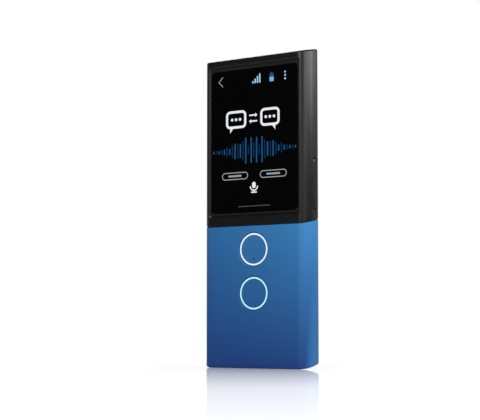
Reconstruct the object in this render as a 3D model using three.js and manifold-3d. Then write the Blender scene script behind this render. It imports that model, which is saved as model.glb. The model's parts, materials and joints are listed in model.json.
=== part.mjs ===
// Handheld translator: a slim two-tone bar with a recessed screen, two lit round buttons under it,
// a rocker and a power key in its sides, and a camera, a flash and a speaker grille in its back.
// Millimetres, +Z up, the screen faces -Y. The origin is the middle of the footprint, level with
// the lowest edge. Both ends and the line between the two housings climb towards the back.
import * as THREE from 'three';
import { mergeGeometries, mergeVertices } from 'three/addons/utils/BufferGeometryUtils.js';
import Module from 'manifold-3d';

const wasm = await Module();
wasm.setup();

// Body
const BODY_HEIGHT = 126.8;
const BODY_WIDTH = 49;
const BODY_DEPTH = 13.4;
const END_RISE = 2.85;
const END_FILLET = 0.8;
const WALL = 1.6;
const FRONT_CORNER = { across: 4.2, deep: 5.2 };
const BACK_CORNER = { across: 7.9, deep: 5.6 };

// Line between the upper and the lower housing, its height measured on the front face
const SPLIT_HEIGHT = 56.4;
const SPLIT_GAP = 0.3;
const SPLIT_CHAMFER = 0.25;

// Fits
const RUNNING_GAP = 0.3;
const SEAT_GAP = 0.1;
const OVERRUN = 2;

// Screen
const SCREEN_SIDE_MARGIN = 3.2;
const SCREEN_ABOVE_SPLIT = 3.55;
const SCREEN_BELOW_TOP = 2.3;
const SCREEN_CORNER = 2.6;
const RECESS_DEPTH = 0.6;
const RECESS_LEAN = 0.75;
const GLASS_THICKNESS = 0.8;
const GLASS_BEVEL = 0.12;
const GLASS_GAP = 0.15;
const PANEL_BORDER = 0.35;
const PANEL_THICKNESS = 2.4;
const PANEL_CORNER = 1.3;
const FOAM_THICKNESS = 0.3;
const FOAM_WIDTH = 1.6;

// Chassis and boards
const PLATE_THICKNESS = 0.8;
const PLATE_CORNER = 2.6;
const CHASSIS_END_GAP = 0.9;
const COLLAR_WALL = 1;
const COLLAR_GAP = 0.2;
const COLLAR_ABOVE_SPLIT = 2.4;
const COLLAR_BELOW_SPLIT = 4;
const SNAP_WIDTH = 3;
const SNAP_HEIGHT = 1.1;
const SNAP_REACH = 0.45;
const RIM_WIDTH = 1;
const RIM_DEPTH = 1.6;
const BOARD_THICKNESS = 0.8;
const BOARD_STANDOFF = 0.2;
const BOARD_CORNER = 1.5;
const MAIN_BOARD_SIDE_GAP = 1.9;
const MAIN_BOARD_ABOVE_SPLIT = 5.6;
const MAIN_BOARD_BELOW_TOP = 4.2;
const FLEX_THICKNESS = 0.2;
const CONNECTOR_THICKNESS = 0.8;
const CONNECTOR_HEIGHT = 2.4;
const SHIELD_HEIGHT = 1.3;
const SHIELD_CORNER = 0.8;
const PROCESSOR_SHIELD = { left: -4, sideGap: 4, height: 19, aboveRibbons: 1.4 };
const RADIO_SHIELD = { left: -15, right: -5, height: 10.5, belowBoardTop: 1.8 };
const ANTENNA = { width: 30, depth: 7, thickness: 0.3, corner: 1 };

// Speaker and its grille, placed down from the top edge of the front face
const GRILLE_BELOW_TOP = 27.05;
const GRILLE_PITCH = 2.57;
const GRILLE_ROW_SIZES = [5, 7, 9, 11, 9, 7, 5];
const GRILLE_CENTRE_HOLE = 1.35;
const GRILLE_EDGE_HOLE = 0.95;
const SPEAKER_SIDE_GAP = 7.9;
const SPEAKER_HEIGHT = 18.6;
const SPEAKER_CORNER = 3;
const SPEAKER_GASKET = 0.5;
const SPEAKER_MESH = 0.2;
const SPEAKER_RIM = 0.9;
const DIAPHRAGM_THICKNESS = 0.3;
const DIAPHRAGM_SINK = 0.35;
const DIAPHRAGM_BORDER = 1.6;
const DIAPHRAGM_ROLL = 1.5;
const MAGNET_BORDER = 3;
const MAGNET_HEIGHT = 0.8;

// Camera and flash
const CAMERA_BELOW_TOP = 9.3;
const CAMERA_OFFSET = 7.85;
const CAMERA_OPENING = 8.3;
const CAMERA_LEDGE = 0.9;
const CAMERA_POCKET = 0.95;
const CAMERA_WINDOW = 0.6;
const CAMERA_BODY = 8.5;
const CAMERA_BARREL = 5.4;
const CAMERA_BARREL_LENGTH = 1.9;
const CAMERA_BODY_CORNER = 0.9;
const LENS_LIP = 0.45;
const LENS_BOWL = 0.7;
const LENS_BULGE = 0.35;
const WINDOW_BEVEL = 0.15;
const CAMERA_TO_FLASH = 9.3;
const FLASH_OPENING = 3.7;
const FLASH_BEZEL_WALL = 0.55;
const FLASH_BEZEL_LENGTH = 1.9;
const FLASH_BEZEL_FLARE = 0.7;
const FLASH_BEZEL_LIP = 0.12;
const FLASH_WINDOW = 0.5;
const FLASH_SINK = 0.3;
const FLASH_LED_SIZE = 2;
const FLASH_LED_HEIGHT = 0.6;
const FLASH_HOLDER_SIZE = 2.8;

// Buttons on the front
const BUTTON_BELOW_SPLIT = 9.47;
const BUTTON_PITCH = 17.39;
const RING_RADIUS = 6.09;
const RING_STROKE = 0.74;
const RING_PROUD = 0.06;
const BUTTON_SINK = 0.3;
const BUTTON_DISH = 0.3;
const BUTTON_FLANGE = 0.6;
const BUTTON_FLANGE_REACH = 1.1;
const BUTTON_TRAVEL = 0.4;
const PLUNGER_RADIUS = 1.3;
const WELL_CHAMFER_WIDTH = 0.42;
const WELL_CHAMFER_DEPTH = 0.36;
const GUIDE_WALL = 0.8;
const GUIDE_DEPTH = 1.7;
const MICROPHONE_DROP = 3.73;
const MICROPHONE_HOLE = 0.7;
const MICROPHONE = { width: 2.7, height: 1.8, deep: 0.8 };
const DOME_RADIUS = 2.2;
const DOME_HEIGHT = 0.3;
const RING_LAMP = { width: 1.6, height: 1, deep: 0.5 };

// Side keys, placed up from the split
const ROCKER_ABOVE_SPLIT = 15.8;
const ROCKER_LENGTH = 19.8;
const KEY_WIDTH = 3;
const KEY_PROUD = 0.25;
const KEY_CROWN = 0.2;
const KEY_FLANGE = 0.6;
const KEY_FLANGE_REACH = 1;
const KEY_FLANGE_LEAN = 0.3;
const KEY_NUB = { reach: 0.4, length: 1.6, width: 1.2 };
const KEY_NUB_SPREAD = 14;
const KEY_SWITCH_GAP = 0.35;
const KEY_SWITCH = { across: 1.8, deep: 1.5, height: 3.2 };
const POWER_ABOVE_SPLIT = 36;
const POWER_LENGTH = 8;

// Card tray in the left side
const TRAY_ABOVE_SPLIT = 20;
const TRAY_LENGTH = 14.6;
const TRAY_WIDTH = 10;
const TRAY_THICKNESS = 1;
const TRAY_FLOOR = 0.2;
const TRAY_BORDER = 0.6;
const BEZEL_LENGTH = 13.6;
const BEZEL_WIDTH = 1.8;
const BEZEL_SHIFT = 1;
const EJECT_HOLE = 0.9;
const EJECT_INSET = 1.3;
const SOCKET_SHEET = 0.15;
const SOCKET_GAP = 0.2;
const CARD = { length: 12.3, width: 8.8, thickness: 0.67, notch: 1.65, gap: 0.15 };

// Charging port in the bottom end, and the board that carries it and the buttons
const PORT_WIDTH = 8.94;
const PORT_THICKNESS = 3.16;
const PORT_SHEET = 0.3;
const PORT_DEPTH = 7.35;
const PORT_SINK = 0.25;
const TONGUE = { width: 6.4, thickness: 0.7, length: 4.9, base: 2 };
const BUTTON_BOARD_SIDE_GAP = 6.9;
const BUTTON_BOARD_END_GAP = 0.5;
const BUTTON_BOARD_BELOW_SPLIT = 2;
const LOWER_PLATE_ABOVE_PORT = 3.4;
const LOWER_PLATE_SIDE_GAP = 2.4;
const PLATE_STEP_HEIGHT = 1.8;

// Battery
const BATTERY_SIDE_GAP = 4.7;
const BATTERY_BACK_GAP = 0.5;
const BATTERY_CORNER = 1.4;
const BATTERY_PAD = 0.2;
const BATTERY_PAD_INSET = 3;
const BATTERY_BELOW_SPLIT = 3.5;

// Lanyard eye: a tunnel from the back face to the bottom end, round a bar
const LANYARD_OFFSET = 7.05;
const LANYARD_WIDTH = 3.3;
const LANYARD_SLOT = 1.65;
const LANYARD_BAR = 1.3;
const LANYARD_BOSS_WALL = 1.1;

// Screws
const SCREW_RADIUS = 0.7;
const SCREW_HEAD_RADIUS = 1.3;
const SCREW_HEAD_HEIGHT = 0.55;
const SCREW_HOLE_GAP = 0.15;
const SCREW_INSET = 2.6;
const SCREW_SIDE_INSET = 4.2;

// Ribbons between the boards: how far each lies in from the edge of its panel or board, and its width
const DISPLAY_FLEX = { inset: 6.05, width: 8 };
const BOARD_FLEX = { inset: 2.5, width: 8 };
const BATTERY_FLEX = { offset: -1, width: 5 };
const FLEX_SLOT_GAP = 0.5;
const FLEX_RISE = 4.4;

// Facets
const BODY_CORNER_STEPS = 10;
const CORNER_STEPS = 5;
const FILLET_STEPS = 4;
const BUTTON_SIDES = 48;
const ROUND_SIDES = 32;
const SMALL_SIDES = 10;
const SAME_POINT = 1e-4;

// Levels that follow from the sizes above
const FRONT = -BODY_DEPTH / 2;
const BACK = BODY_DEPTH / 2;
const SIDE = BODY_WIDTH / 2;
const SLOPE = END_RISE / BODY_DEPTH;
const rise = (y) => (y - FRONT) * SLOPE;
const QUARTER = Math.PI / 2;

const filletSteps = Array.from({ length: FILLET_STEPS + 1 }, (_, step) => {
  const turn = (step / FILLET_STEPS) * QUARTER;
  return { inset: END_FILLET * (1 - Math.cos(turn)), along: END_FILLET * (1 - Math.sin(turn)) };
});
const FILLET_LIFT = Math.min(...filletSteps.map(({ inset, along }) => along + inset * SLOPE));
const BOTTOM = -FILLET_LIFT;
const TOP = BODY_HEIGHT - END_RISE + FILLET_LIFT;

const GLASS_FRONT = FRONT + RECESS_DEPTH;
const GLASS_BACK = GLASS_FRONT + GLASS_THICKNESS;
const PANEL_FRONT = GLASS_BACK + SEAT_GAP;
const PANEL_BACK = PANEL_FRONT + PANEL_THICKNESS;
const FOAM_FRONT = PANEL_BACK + SEAT_GAP;
const PLATE_FRONT = FOAM_FRONT + FOAM_THICKNESS + SEAT_GAP;
const PLATE_BACK = PLATE_FRONT + PLATE_THICKNESS;
const BOARD_FRONT = PLATE_BACK + BOARD_STANDOFF;
const BOARD_BACK = BOARD_FRONT + BOARD_THICKNESS;
const ON_BOARD = BOARD_BACK + SEAT_GAP;
const LOWER_PLATE_BACK = PLATE_BACK + PLATE_THICKNESS;
const BUTTON_BOARD_BACK = PLATE_BACK - SEAT_GAP;
const BUTTON_BOARD_FRONT = BUTTON_BOARD_BACK - BOARD_THICKNESS;
const ON_BUTTON_BOARD = BUTTON_BOARD_FRONT - SEAT_GAP;
const INNER_FRONT = FRONT + WALL;
const INNER_BACK = BACK - WALL;
const INNER_SIDE = SIDE - WALL;

// Tools for making shapes

// One mesh with merged corners, as a solid that can be cut and joined
function solid(geometry) {
  const bare = geometry.clone();
  bare.deleteAttribute('normal');
  bare.deleteAttribute('uv');
  const merged = mergeVertices(bare);
  const corners = merged.index.array;
  const triangles = [];
  for (let first = 0; first < corners.length; first += 3) {
    const [a, b, c] = corners.slice(first, first + 3);
    if (a !== b && b !== c && c !== a) {
      triangles.push(a, b, c);
    }
  }
  return new wasm.Manifold(new wasm.Mesh({
    numProp: 3,
    vertProperties: new Float32Array(merged.attributes.position.array),
    triVerts: new Uint32Array(triangles),
  }));
}

const cut = (base, ...tools) => tools.reduce((left, tool) => left.subtract(tool), base);
const join = (...pieces) => pieces.reduce((whole, piece) => whole.add(piece));

// Points of a closed outline with elliptical corners: the low pair, then the high pair
function outline(left, right, low, high, lowCorner, highCorner, steps = CORNER_STEPS) {
  const corner = (x, y, size, turn) => new THREE.EllipseCurve(
    x, y, size.across, size.deep, turn * QUARTER, (turn + 1) * QUARTER).getPoints(steps);
  const points = [
    ...corner(right - lowCorner.across, low + lowCorner.deep, lowCorner, -1),
    ...corner(right - highCorner.across, high - highCorner.deep, highCorner, 0),
    ...corner(left + highCorner.across, high - highCorner.deep, highCorner, 1),
    ...corner(left + lowCorner.across, low + lowCorner.deep, lowCorner, 2),
  ];
  return points.filter((point, index) => {
    const next = points[(index + 1) % points.length];
    return point.distanceTo(next) > SAME_POINT;
  });
}

const round = (radius) => ({ across: radius, deep: radius });
const roundedBox = (left, right, low, high, radius, steps) =>
  outline(left, right, low, high, round(radius), round(radius), steps);
const slotAround = (x, y, width, height, steps) => roundedBox(
  x - width / 2, x + width / 2, y - height / 2, y + height / 2, Math.min(width, height) / 2, steps);

// Outline of the body's section, drawn in by a wall
const bodySection = (inset) => outline(
  -SIDE + inset, SIDE - inset, FRONT + inset, BACK - inset,
  { across: FRONT_CORNER.across - inset, deep: FRONT_CORNER.deep - inset },
  { across: BACK_CORNER.across - inset, deep: BACK_CORNER.deep - inset }, BODY_CORNER_STEPS);

// Closed skin through outlines of equal count at rising heights
function loft(sections) {
  const count = sections[0].points.length;
  const positions = sections.flatMap(({ points, height }) => points.flatMap(({ x, y }) => [x, y, height]));
  const index = [];
  for (let ring = 0; ring < sections.length - 1; ring += 1) {
    for (let place = 0; place < count; place += 1) {
      const a = ring * count + place;
      const b = ring * count + ((place + 1) % count);
      index.push(a, b, b + count, a, b + count, a + count);
    }
  }
  const last = (sections.length - 1) * count;
  THREE.ShapeUtils.triangulateShape(sections[0].points, []).forEach(([a, b, c]) => index.push(c, b, a));
  THREE.ShapeUtils.triangulateShape(sections.at(-1).points, [])
    .forEach(([a, b, c]) => index.push(a + last, b + last, c + last));
  const skin = new THREE.BufferGeometry();
  skin.setAttribute('position', new THREE.Float32BufferAttribute(positions, 3));
  skin.setIndex(index);
  return skin;
}

// Turn a shape drawn in X and Y and raised along Z: to face the front, or to face the right
const axes = (x, y, z) => new THREE.Matrix4().makeBasis(
  new THREE.Vector3(...x), new THREE.Vector3(...y), new THREE.Vector3(...z));
const FACE_FRONT = axes([1, 0, 0], [0, 0, 1], [0, -1, 0]);
const FACE_RIGHT = axes([0, 1, 0], [0, 0, 1], [1, 0, 0]);

const raised = (points, height) => new THREE.ExtrudeGeometry(
  new THREE.Shape(points), { depth: height, bevelEnabled: false });
// Plate across the depth, its outline in X and Z
const plate = (points, front, back) => solid(
  raised(points, back - front).applyMatrix4(FACE_FRONT).translate(0, back, 0));
// Plate across the width, its outline in Y and Z
const sidePlate = (points, left, right) => solid(
  raised(points, right - left).applyMatrix4(FACE_RIGHT).translate(left, 0, 0));
// Upright piece, its outline in X and Y
const upright = (points, low, high) => solid(raised(points, high - low).translate(0, 0, low));
const block = (left, right, front, back, low, high) => solid(
  new THREE.BoxGeometry(right - left, back - front, high - low)
    .translate((left + right) / 2, (front + back) / 2, (low + high) / 2));
const pin = (radius, front, back, x, z, sides = ROUND_SIDES) => solid(
  new THREE.CylinderGeometry(radius, radius, back - front, sides).translate(x, (front + back) / 2, z));
// Round piece about an axis along the depth, its profile as radius and depth
const turned = (profile, x, z, sides = ROUND_SIDES) => solid(
  new THREE.LatheGeometry(profile.map(([radius, y]) => new THREE.Vector2(radius, y)), sides)
    .translate(x, 0, z));

// Heights of a body piece climb towards the back as the ends do
const SHEAR = new THREE.Matrix4().set(1, 0, 0, 0, 0, 1, 0, 0, 0, SLOPE, 1, -FRONT * SLOPE, 0, 0, 0, 1);
const bodyLoft = (levels) => solid(loft(levels.map(({ height, inset }) => (
  { height, points: bodySection(inset) }))).applyMatrix4(SHEAR));
const slantedPlate = (points, low, high) => solid(raised(points, high - low).translate(0, 0, low)
  .applyMatrix4(SHEAR));

// Places that several pieces share

const screenOutline = (inset) => roundedBox(
  -SIDE + SCREEN_SIDE_MARGIN + inset, SIDE - SCREEN_SIDE_MARGIN - inset,
  SPLIT_HEIGHT + SCREEN_ABOVE_SPLIT + inset, TOP - SCREEN_BELOW_TOP - inset, SCREEN_CORNER - inset);
const panelEdges = {
  side: SIDE - SCREEN_SIDE_MARGIN - RECESS_LEAN - GLASS_GAP - PANEL_BORDER,
  low: SPLIT_HEIGHT + SCREEN_ABOVE_SPLIT + RECESS_LEAN + GLASS_GAP + PANEL_BORDER,
  high: TOP - SCREEN_BELOW_TOP - RECESS_LEAN - GLASS_GAP - PANEL_BORDER,
};
const mainBoard = {
  side: INNER_SIDE - MAIN_BOARD_SIDE_GAP,
  low: SPLIT_HEIGHT + MAIN_BOARD_ABOVE_SPLIT,
  high: TOP - MAIN_BOARD_BELOW_TOP,
};
const upperButtonHeight = SPLIT_HEIGHT - BUTTON_BELOW_SPLIT;
const lowerButtonHeight = upperButtonHeight - BUTTON_PITCH;
const buttonHeights = [upperButtonHeight, lowerButtonHeight];
const grilleHeight = TOP - GRILLE_BELOW_TOP;
const cameraHeight = TOP - CAMERA_BELOW_TOP;
const flashOffset = CAMERA_OFFSET - CAMERA_TO_FLASH;
const keyDepth = (FRONT + FRONT_CORNER.deep + BACK - BACK_CORNER.deep) / 2;
const rockerHeight = SPLIT_HEIGHT + ROCKER_ABOVE_SPLIT;
const powerHeight = SPLIT_HEIGHT + POWER_ABOVE_SPLIT;
const trayHeight = SPLIT_HEIGHT + TRAY_ABOVE_SPLIT;
const trayFront = ON_BOARD + RUNNING_GAP;
const trayDepth = trayFront + TRAY_THICKNESS / 2;
const bezelHeight = trayHeight + BEZEL_SHIFT;
const ringOuter = RING_RADIUS + RING_STROKE / 2;
const ringInner = RING_RADIUS - RING_STROKE / 2;
const wellRadius = ringOuter + RUNNING_GAP;
const flangeRadius = wellRadius + BUTTON_FLANGE_REACH;
const guideInner = flangeRadius + RUNNING_GAP;
const guideOuter = guideInner + GUIDE_WALL;
const buttonFace = FRONT + BUTTON_SINK;
const flangeFront = INNER_FRONT + RUNNING_GAP;
const flangeBack = flangeFront + BUTTON_FLANGE;
const portDepth = BUTTON_BOARD_BACK + SEAT_GAP + PORT_THICKNESS / 2;
const portMouth = BOTTOM + rise(portDepth - PORT_THICKNESS / 2) + PORT_SINK;
const lowerPlateLow = portMouth + PORT_DEPTH + LOWER_PLATE_ABOVE_PORT;
const plateStep = { low: SPLIT_HEIGHT - SEAT_GAP, high: SPLIT_HEIGHT - SEAT_GAP + PLATE_STEP_HEIGHT };
const speakerFace = INNER_BACK - SEAT_GAP - SPEAKER_MESH - SEAT_GAP - SPEAKER_GASKET - SEAT_GAP;
const socketRoof = trayFront + TRAY_THICKNESS + SOCKET_GAP;
const speakerRear = ON_BOARD + SHIELD_HEIGHT + RUNNING_GAP;
const speakerSide = INNER_SIDE - SPEAKER_SIDE_GAP;
const speakerOutline = (inset) => roundedBox(
  -speakerSide + inset, speakerSide - inset,
  grilleHeight - SPEAKER_HEIGHT / 2 + inset, grilleHeight + SPEAKER_HEIGHT / 2 - inset,
  SPEAKER_CORNER - inset);
const batteryFront = LOWER_PLATE_BACK + SEAT_GAP + BATTERY_PAD + SEAT_GAP;
const batteryHigh = SPLIT_HEIGHT - BATTERY_BELOW_SPLIT;
const snapDepth = keyDepth;

// Housings

// Round-cornered pockets inside each cup that the chassis snaps drop into
function snapPockets(low) {
  return [-SIDE + WALL, SIDE - WALL].map((side) => {
    const reach = SNAP_REACH - COLLAR_GAP + RUNNING_GAP;
    return block(side - reach, side + reach, snapDepth - SNAP_WIDTH / 2 - RUNNING_GAP,
      snapDepth + SNAP_WIDTH / 2 + RUNNING_GAP, low - RUNNING_GAP, low + SNAP_HEIGHT + RUNNING_GAP);
  });
}
const upperSnapLow = SPLIT_HEIGHT + rise(snapDepth) + COLLAR_ABOVE_SPLIT - SNAP_HEIGHT - RUNNING_GAP;
const lowerSnapLow = SPLIT_HEIGHT + rise(snapDepth) - COLLAR_BELOW_SPLIT + RUNNING_GAP;

function grilleHoles() {
  const rows = GRILLE_ROW_SIZES.length;
  const reach = (Math.max(...GRILLE_ROW_SIZES) - 1) / 2;
  const holes = GRILLE_ROW_SIZES.flatMap((size, row) => Array.from({ length: size }, (_, place) => {
    const across = place - (size - 1) / 2;
    const up = (rows - 1) / 2 - row;
    const share = Math.min(Math.hypot(across, up) / reach, 1);
    const radius = (GRILLE_CENTRE_HOLE + (GRILLE_EDGE_HOLE - GRILLE_CENTRE_HOLE) * share) / 2;
    return new THREE.CylinderGeometry(radius, radius, WALL + OVERRUN, SMALL_SIDES)
      .translate(across * GRILLE_PITCH, BACK - WALL / 2, grilleHeight + up * GRILLE_PITCH);
  }));
  return solid(mergeGeometries(holes));
}

// Slot through a side wall for a key of a given length
const keySlot = (height, length, side) => sidePlate(
  slotAround(keyDepth, height, KEY_WIDTH + RUNNING_GAP * 2, length + RUNNING_GAP * 2),
  Math.min(side * (SIDE + OVERRUN), side * (INNER_SIDE - OVERRUN)),
  Math.max(side * (SIDE + OVERRUN), side * (INNER_SIDE - OVERRUN)));

function upperHousing() {
  const low = SPLIT_HEIGHT + SPLIT_GAP / 2;
  const outer = bodyLoft([
    { height: low, inset: SPLIT_CHAMFER },
    { height: low + SPLIT_CHAMFER, inset: 0 },
    ...filletSteps.map(({ inset, along }) => ({ height: TOP - along, inset })),
  ]);
  const inside = bodyLoft([{ height: low - OVERRUN, inset: WALL }, { height: TOP - WALL, inset: WALL }]);
  const recess = solid(loft([
    { height: -GLASS_FRONT, points: screenOutline(RECESS_LEAN) },
    { height: -FRONT, points: screenOutline(0) },
    { height: -FRONT + OVERRUN, points: screenOutline(0) },
  ]).applyMatrix4(FACE_FRONT));
  const window = plate(screenOutline(RECESS_LEAN), GLASS_FRONT - OVERRUN, INNER_FRONT + OVERRUN);
  const speakerRim = cut(
    plate(speakerOutline(-RUNNING_GAP - SPEAKER_RIM), speakerFace - RUNNING_GAP, INNER_BACK + WALL / 2),
    plate(speakerOutline(-RUNNING_GAP), speakerFace - OVERRUN, INNER_BACK));
  const cameraRim = turned([
    [CAMERA_OPENING / 2 - CAMERA_LEDGE, INNER_BACK - RUNNING_GAP],
    [CAMERA_OPENING / 2 + RIM_WIDTH, INNER_BACK - RUNNING_GAP],
    [CAMERA_OPENING / 2 + RIM_WIDTH, INNER_BACK + WALL / 2],
    [CAMERA_OPENING / 2 - CAMERA_LEDGE, INNER_BACK + WALL / 2],
    [CAMERA_OPENING / 2 - CAMERA_LEDGE, INNER_BACK - RUNNING_GAP],
  ], CAMERA_OFFSET, cameraHeight);
  const bezelSlot = sidePlate(
    slotAround(trayDepth, bezelHeight, BEZEL_WIDTH + RUNNING_GAP * 2, BEZEL_LENGTH + RUNNING_GAP * 2),
    -SIDE - OVERRUN, -INNER_SIDE + OVERRUN);
  return cut(
    join(cut(outer, inside), speakerRim, cameraRim),
    recess, window, grilleHoles(),
    pin(CAMERA_OPENING / 2, BACK - CAMERA_POCKET, BACK + OVERRUN, CAMERA_OFFSET, cameraHeight, BUTTON_SIDES),
    pin(CAMERA_OPENING / 2 - CAMERA_LEDGE, INNER_BACK - OVERRUN, BACK + OVERRUN, CAMERA_OFFSET, cameraHeight),
    pin(FLASH_OPENING / 2, INNER_BACK - OVERRUN, BACK + OVERRUN, flashOffset, cameraHeight),
    keySlot(rockerHeight, ROCKER_LENGTH, 1), keySlot(powerHeight, POWER_LENGTH, -1), bezelSlot,
    ...snapPockets(upperSnapLow));
}

function lowerHousing() {
  const high = SPLIT_HEIGHT - SPLIT_GAP / 2;
  const outer = bodyLoft([
    ...filletSteps.map(({ inset, along }) => ({ height: BOTTOM + along, inset })).reverse(),
    { height: high - SPLIT_CHAMFER, inset: 0 },
    { height: high, inset: SPLIT_CHAMFER },
  ]);
  const inside = bodyLoft([{ height: BOTTOM + WALL, inset: WALL }, { height: high + OVERRUN, inset: WALL }]);
  const guides = buttonHeights.map((height) => pin(
    guideOuter, INNER_FRONT - WALL / 2, INNER_FRONT + GUIDE_DEPTH, 0, height, BUTTON_SIDES));
  const bores = buttonHeights.map((height) => pin(
    guideInner, INNER_FRONT, INNER_FRONT + GUIDE_DEPTH + OVERRUN, 0, height, BUTTON_SIDES));
  const wells = buttonHeights.map((height) => turned([
    [0, FRONT - OVERRUN],
    [wellRadius + WELL_CHAMFER_WIDTH, FRONT - OVERRUN],
    [wellRadius + WELL_CHAMFER_WIDTH, FRONT],
    [wellRadius, FRONT + WELL_CHAMFER_DEPTH],
    [wellRadius, INNER_FRONT + OVERRUN],
    [0, INNER_FRONT + OVERRUN],
  ], 0, height, BUTTON_SIDES));
  const port = upright(
    slotAround(0, portDepth, PORT_WIDTH + RUNNING_GAP * 2, PORT_THICKNESS + RUNNING_GAP * 2),
    BOTTOM - OVERRUN, BOTTOM + WALL + END_RISE + OVERRUN);
  const eyeHigh = BOTTOM + END_RISE + LANYARD_BAR + LANYARD_SLOT;
  const eyeLeft = LANYARD_OFFSET - LANYARD_WIDTH / 2;
  const eyeRight = LANYARD_OFFSET + LANYARD_WIDTH / 2;
  const eyeBack = BACK - LANYARD_SLOT;
  const eyeFront = eyeBack - LANYARD_SLOT;
  const boss = block(eyeLeft - LANYARD_BOSS_WALL, eyeRight + LANYARD_BOSS_WALL, eyeFront - LANYARD_BOSS_WALL,
    INNER_BACK + WALL / 2, BOTTOM + WALL / 2 + rise(eyeBack), eyeHigh + LANYARD_BOSS_WALL);
  return cut(
    join(cut(join(cut(outer, inside), ...guides), ...bores), boss),
    ...wells, port,
    block(eyeLeft, eyeRight, eyeFront, BACK + OVERRUN, eyeHigh - LANYARD_SLOT, eyeHigh),
    block(eyeLeft, eyeRight, eyeFront, eyeBack, BOTTOM - OVERRUN, eyeHigh),
    ...snapPockets(lowerSnapLow));
}

// Chassis

const flexSlot = ({ left, right }, front, back, low, high) => block(
  left - FLEX_SLOT_GAP, right + FLEX_SLOT_GAP, front, back, low, high);
const mainScrewPlaces = [-1, 1].flatMap((side) => [mainBoard.low, mainBoard.high].map((end, place) => (
  { x: side * (mainBoard.side - SCREW_SIDE_INSET), z: end + (place ? -SCREW_INSET : SCREW_INSET) })));
const buttonBoardEdges = {
  side: INNER_SIDE - BUTTON_BOARD_SIDE_GAP,
  low: BOTTOM + WALL + rise(BUTTON_BOARD_BACK) + BUTTON_BOARD_END_GAP,
  high: SPLIT_HEIGHT - BUTTON_BOARD_BELOW_SPLIT,
};
const buttonScrewPlaces = [-1, 1].map((side) => (
  { x: side * (buttonBoardEdges.side - SCREW_INSET), z: (upperButtonHeight + lowerButtonHeight) / 2 }));

const screwHole = ({ x, z }, front, back) => pin(
  SCREW_RADIUS + SCREW_HOLE_GAP, front, back, x, z, SMALL_SIDES);

function chassisFrame() {
  const collarInset = WALL + COLLAR_GAP;
  const low = SPLIT_HEIGHT - COLLAR_BELOW_SPLIT;
  const high = SPLIT_HEIGHT + COLLAR_ABOVE_SPLIT;
  const collar = cut(
    bodyLoft([{ height: low, inset: collarInset }, { height: high, inset: collarInset }]),
    bodyLoft([{ height: low - OVERRUN, inset: collarInset + COLLAR_WALL },
      { height: high + OVERRUN, inset: collarInset + COLLAR_WALL }]),
    pin(guideOuter + RUNNING_GAP, FRONT, PLATE_FRONT, 0, upperButtonHeight));
  const half = INNER_SIDE - COLLAR_GAP - RUNNING_GAP;
  const upperPlate = plate(
    roundedBox(-half, half, plateStep.low, TOP - WALL - CHASSIS_END_GAP, PLATE_CORNER),
    PLATE_FRONT, PLATE_BACK);
  const lowerHalf = INNER_SIDE - LOWER_PLATE_SIDE_GAP;
  const lowerPlate = plate(
    roundedBox(-lowerHalf, lowerHalf, lowerPlateLow, plateStep.high, PLATE_CORNER),
    PLATE_BACK, LOWER_PLATE_BACK);
  const step = block(-half, half, PLATE_FRONT, LOWER_PLATE_BACK, plateStep.low, plateStep.high);
  const rims = [-1, 1].map((side) => {
    const inner = panelEdges.side + RUNNING_GAP;
    return block(Math.min(side * inner, side * (inner + RIM_WIDTH)),
      Math.max(side * inner, side * (inner + RIM_WIDTH)),
      PLATE_FRONT - RIM_DEPTH, PLATE_BACK, panelEdges.low, panelEdges.high);
  });
  const pads = mainScrewPlaces.map(({ x, z }) => pin(
    SCREW_HEAD_RADIUS, PLATE_FRONT, BOARD_FRONT - SEAT_GAP, x, z, SMALL_SIDES));
  const snaps = [-1, 1].flatMap((side) => [upperSnapLow, lowerSnapLow].map((z) => {
    const face = side * (SIDE - collarInset);
    const reach = side * (SIDE - collarInset + SNAP_REACH);
    const root = side * (SIDE - collarInset - COLLAR_WALL / 2);
    return block(Math.min(root, reach, face), Math.max(root, reach, face),
      snapDepth - SNAP_WIDTH / 2, snapDepth + SNAP_WIDTH / 2, z, z + SNAP_HEIGHT);
  }));
  const notchDepth = PLATE_FRONT - SEAT_GAP;
  const keyNotch = (height, length, side) => block(
    side > 0 ? panelEdges.side + RUNNING_GAP : -SIDE, side > 0 ? SIDE : -panelEdges.side - RUNNING_GAP,
    notchDepth, LOWER_PLATE_BACK, height - length / 2 - KEY_FLANGE_REACH - FLEX_SLOT_GAP,
    height + length / 2 + KEY_FLANGE_REACH + FLEX_SLOT_GAP);
  const holes = [
    ...mainScrewPlaces.map((spot) => screwHole(spot, PLATE_FRONT - OVERRUN, PLATE_BACK + OVERRUN)),
    ...buttonScrewPlaces.map((spot) => screwHole(spot, PLATE_FRONT, LOWER_PLATE_BACK + OVERRUN)),
  ];
  return cut(
    join(collar, upperPlate, lowerPlate, step, ...rims, ...pads, ...snaps),
    keyNotch(rockerHeight, ROCKER_LENGTH, 1), keyNotch(powerHeight, POWER_LENGTH, -1),
    ...holes,
    flexSlot(displaySpan, PLATE_FRONT - OVERRUN, PLATE_BACK + OVERRUN,
      displayFlexHeight - FLEX_SLOT_GAP, displayFlexHeight + FLEX_SLOT_GAP),
    flexSlot(boardSpan, PLATE_FRONT - OVERRUN, LOWER_PLATE_BACK + OVERRUN,
      boardFlexHeight - FLEX_SLOT_GAP, boardFlexHeight + FLEX_SLOT_GAP));
}

// Screen

function displayGlass() {
  const face = RECESS_LEAN + GLASS_GAP;
  return solid(loft([
    { height: -GLASS_BACK, points: screenOutline(face) },
    { height: -GLASS_FRONT - GLASS_BEVEL, points: screenOutline(face) },
    { height: -GLASS_FRONT, points: screenOutline(face + GLASS_BEVEL) },
  ]).applyMatrix4(FACE_FRONT));
}

const displayPanel = () => plate(
  roundedBox(-panelEdges.side, panelEdges.side, panelEdges.low, panelEdges.high, PANEL_CORNER),
  PANEL_FRONT, PANEL_BACK);

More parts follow.
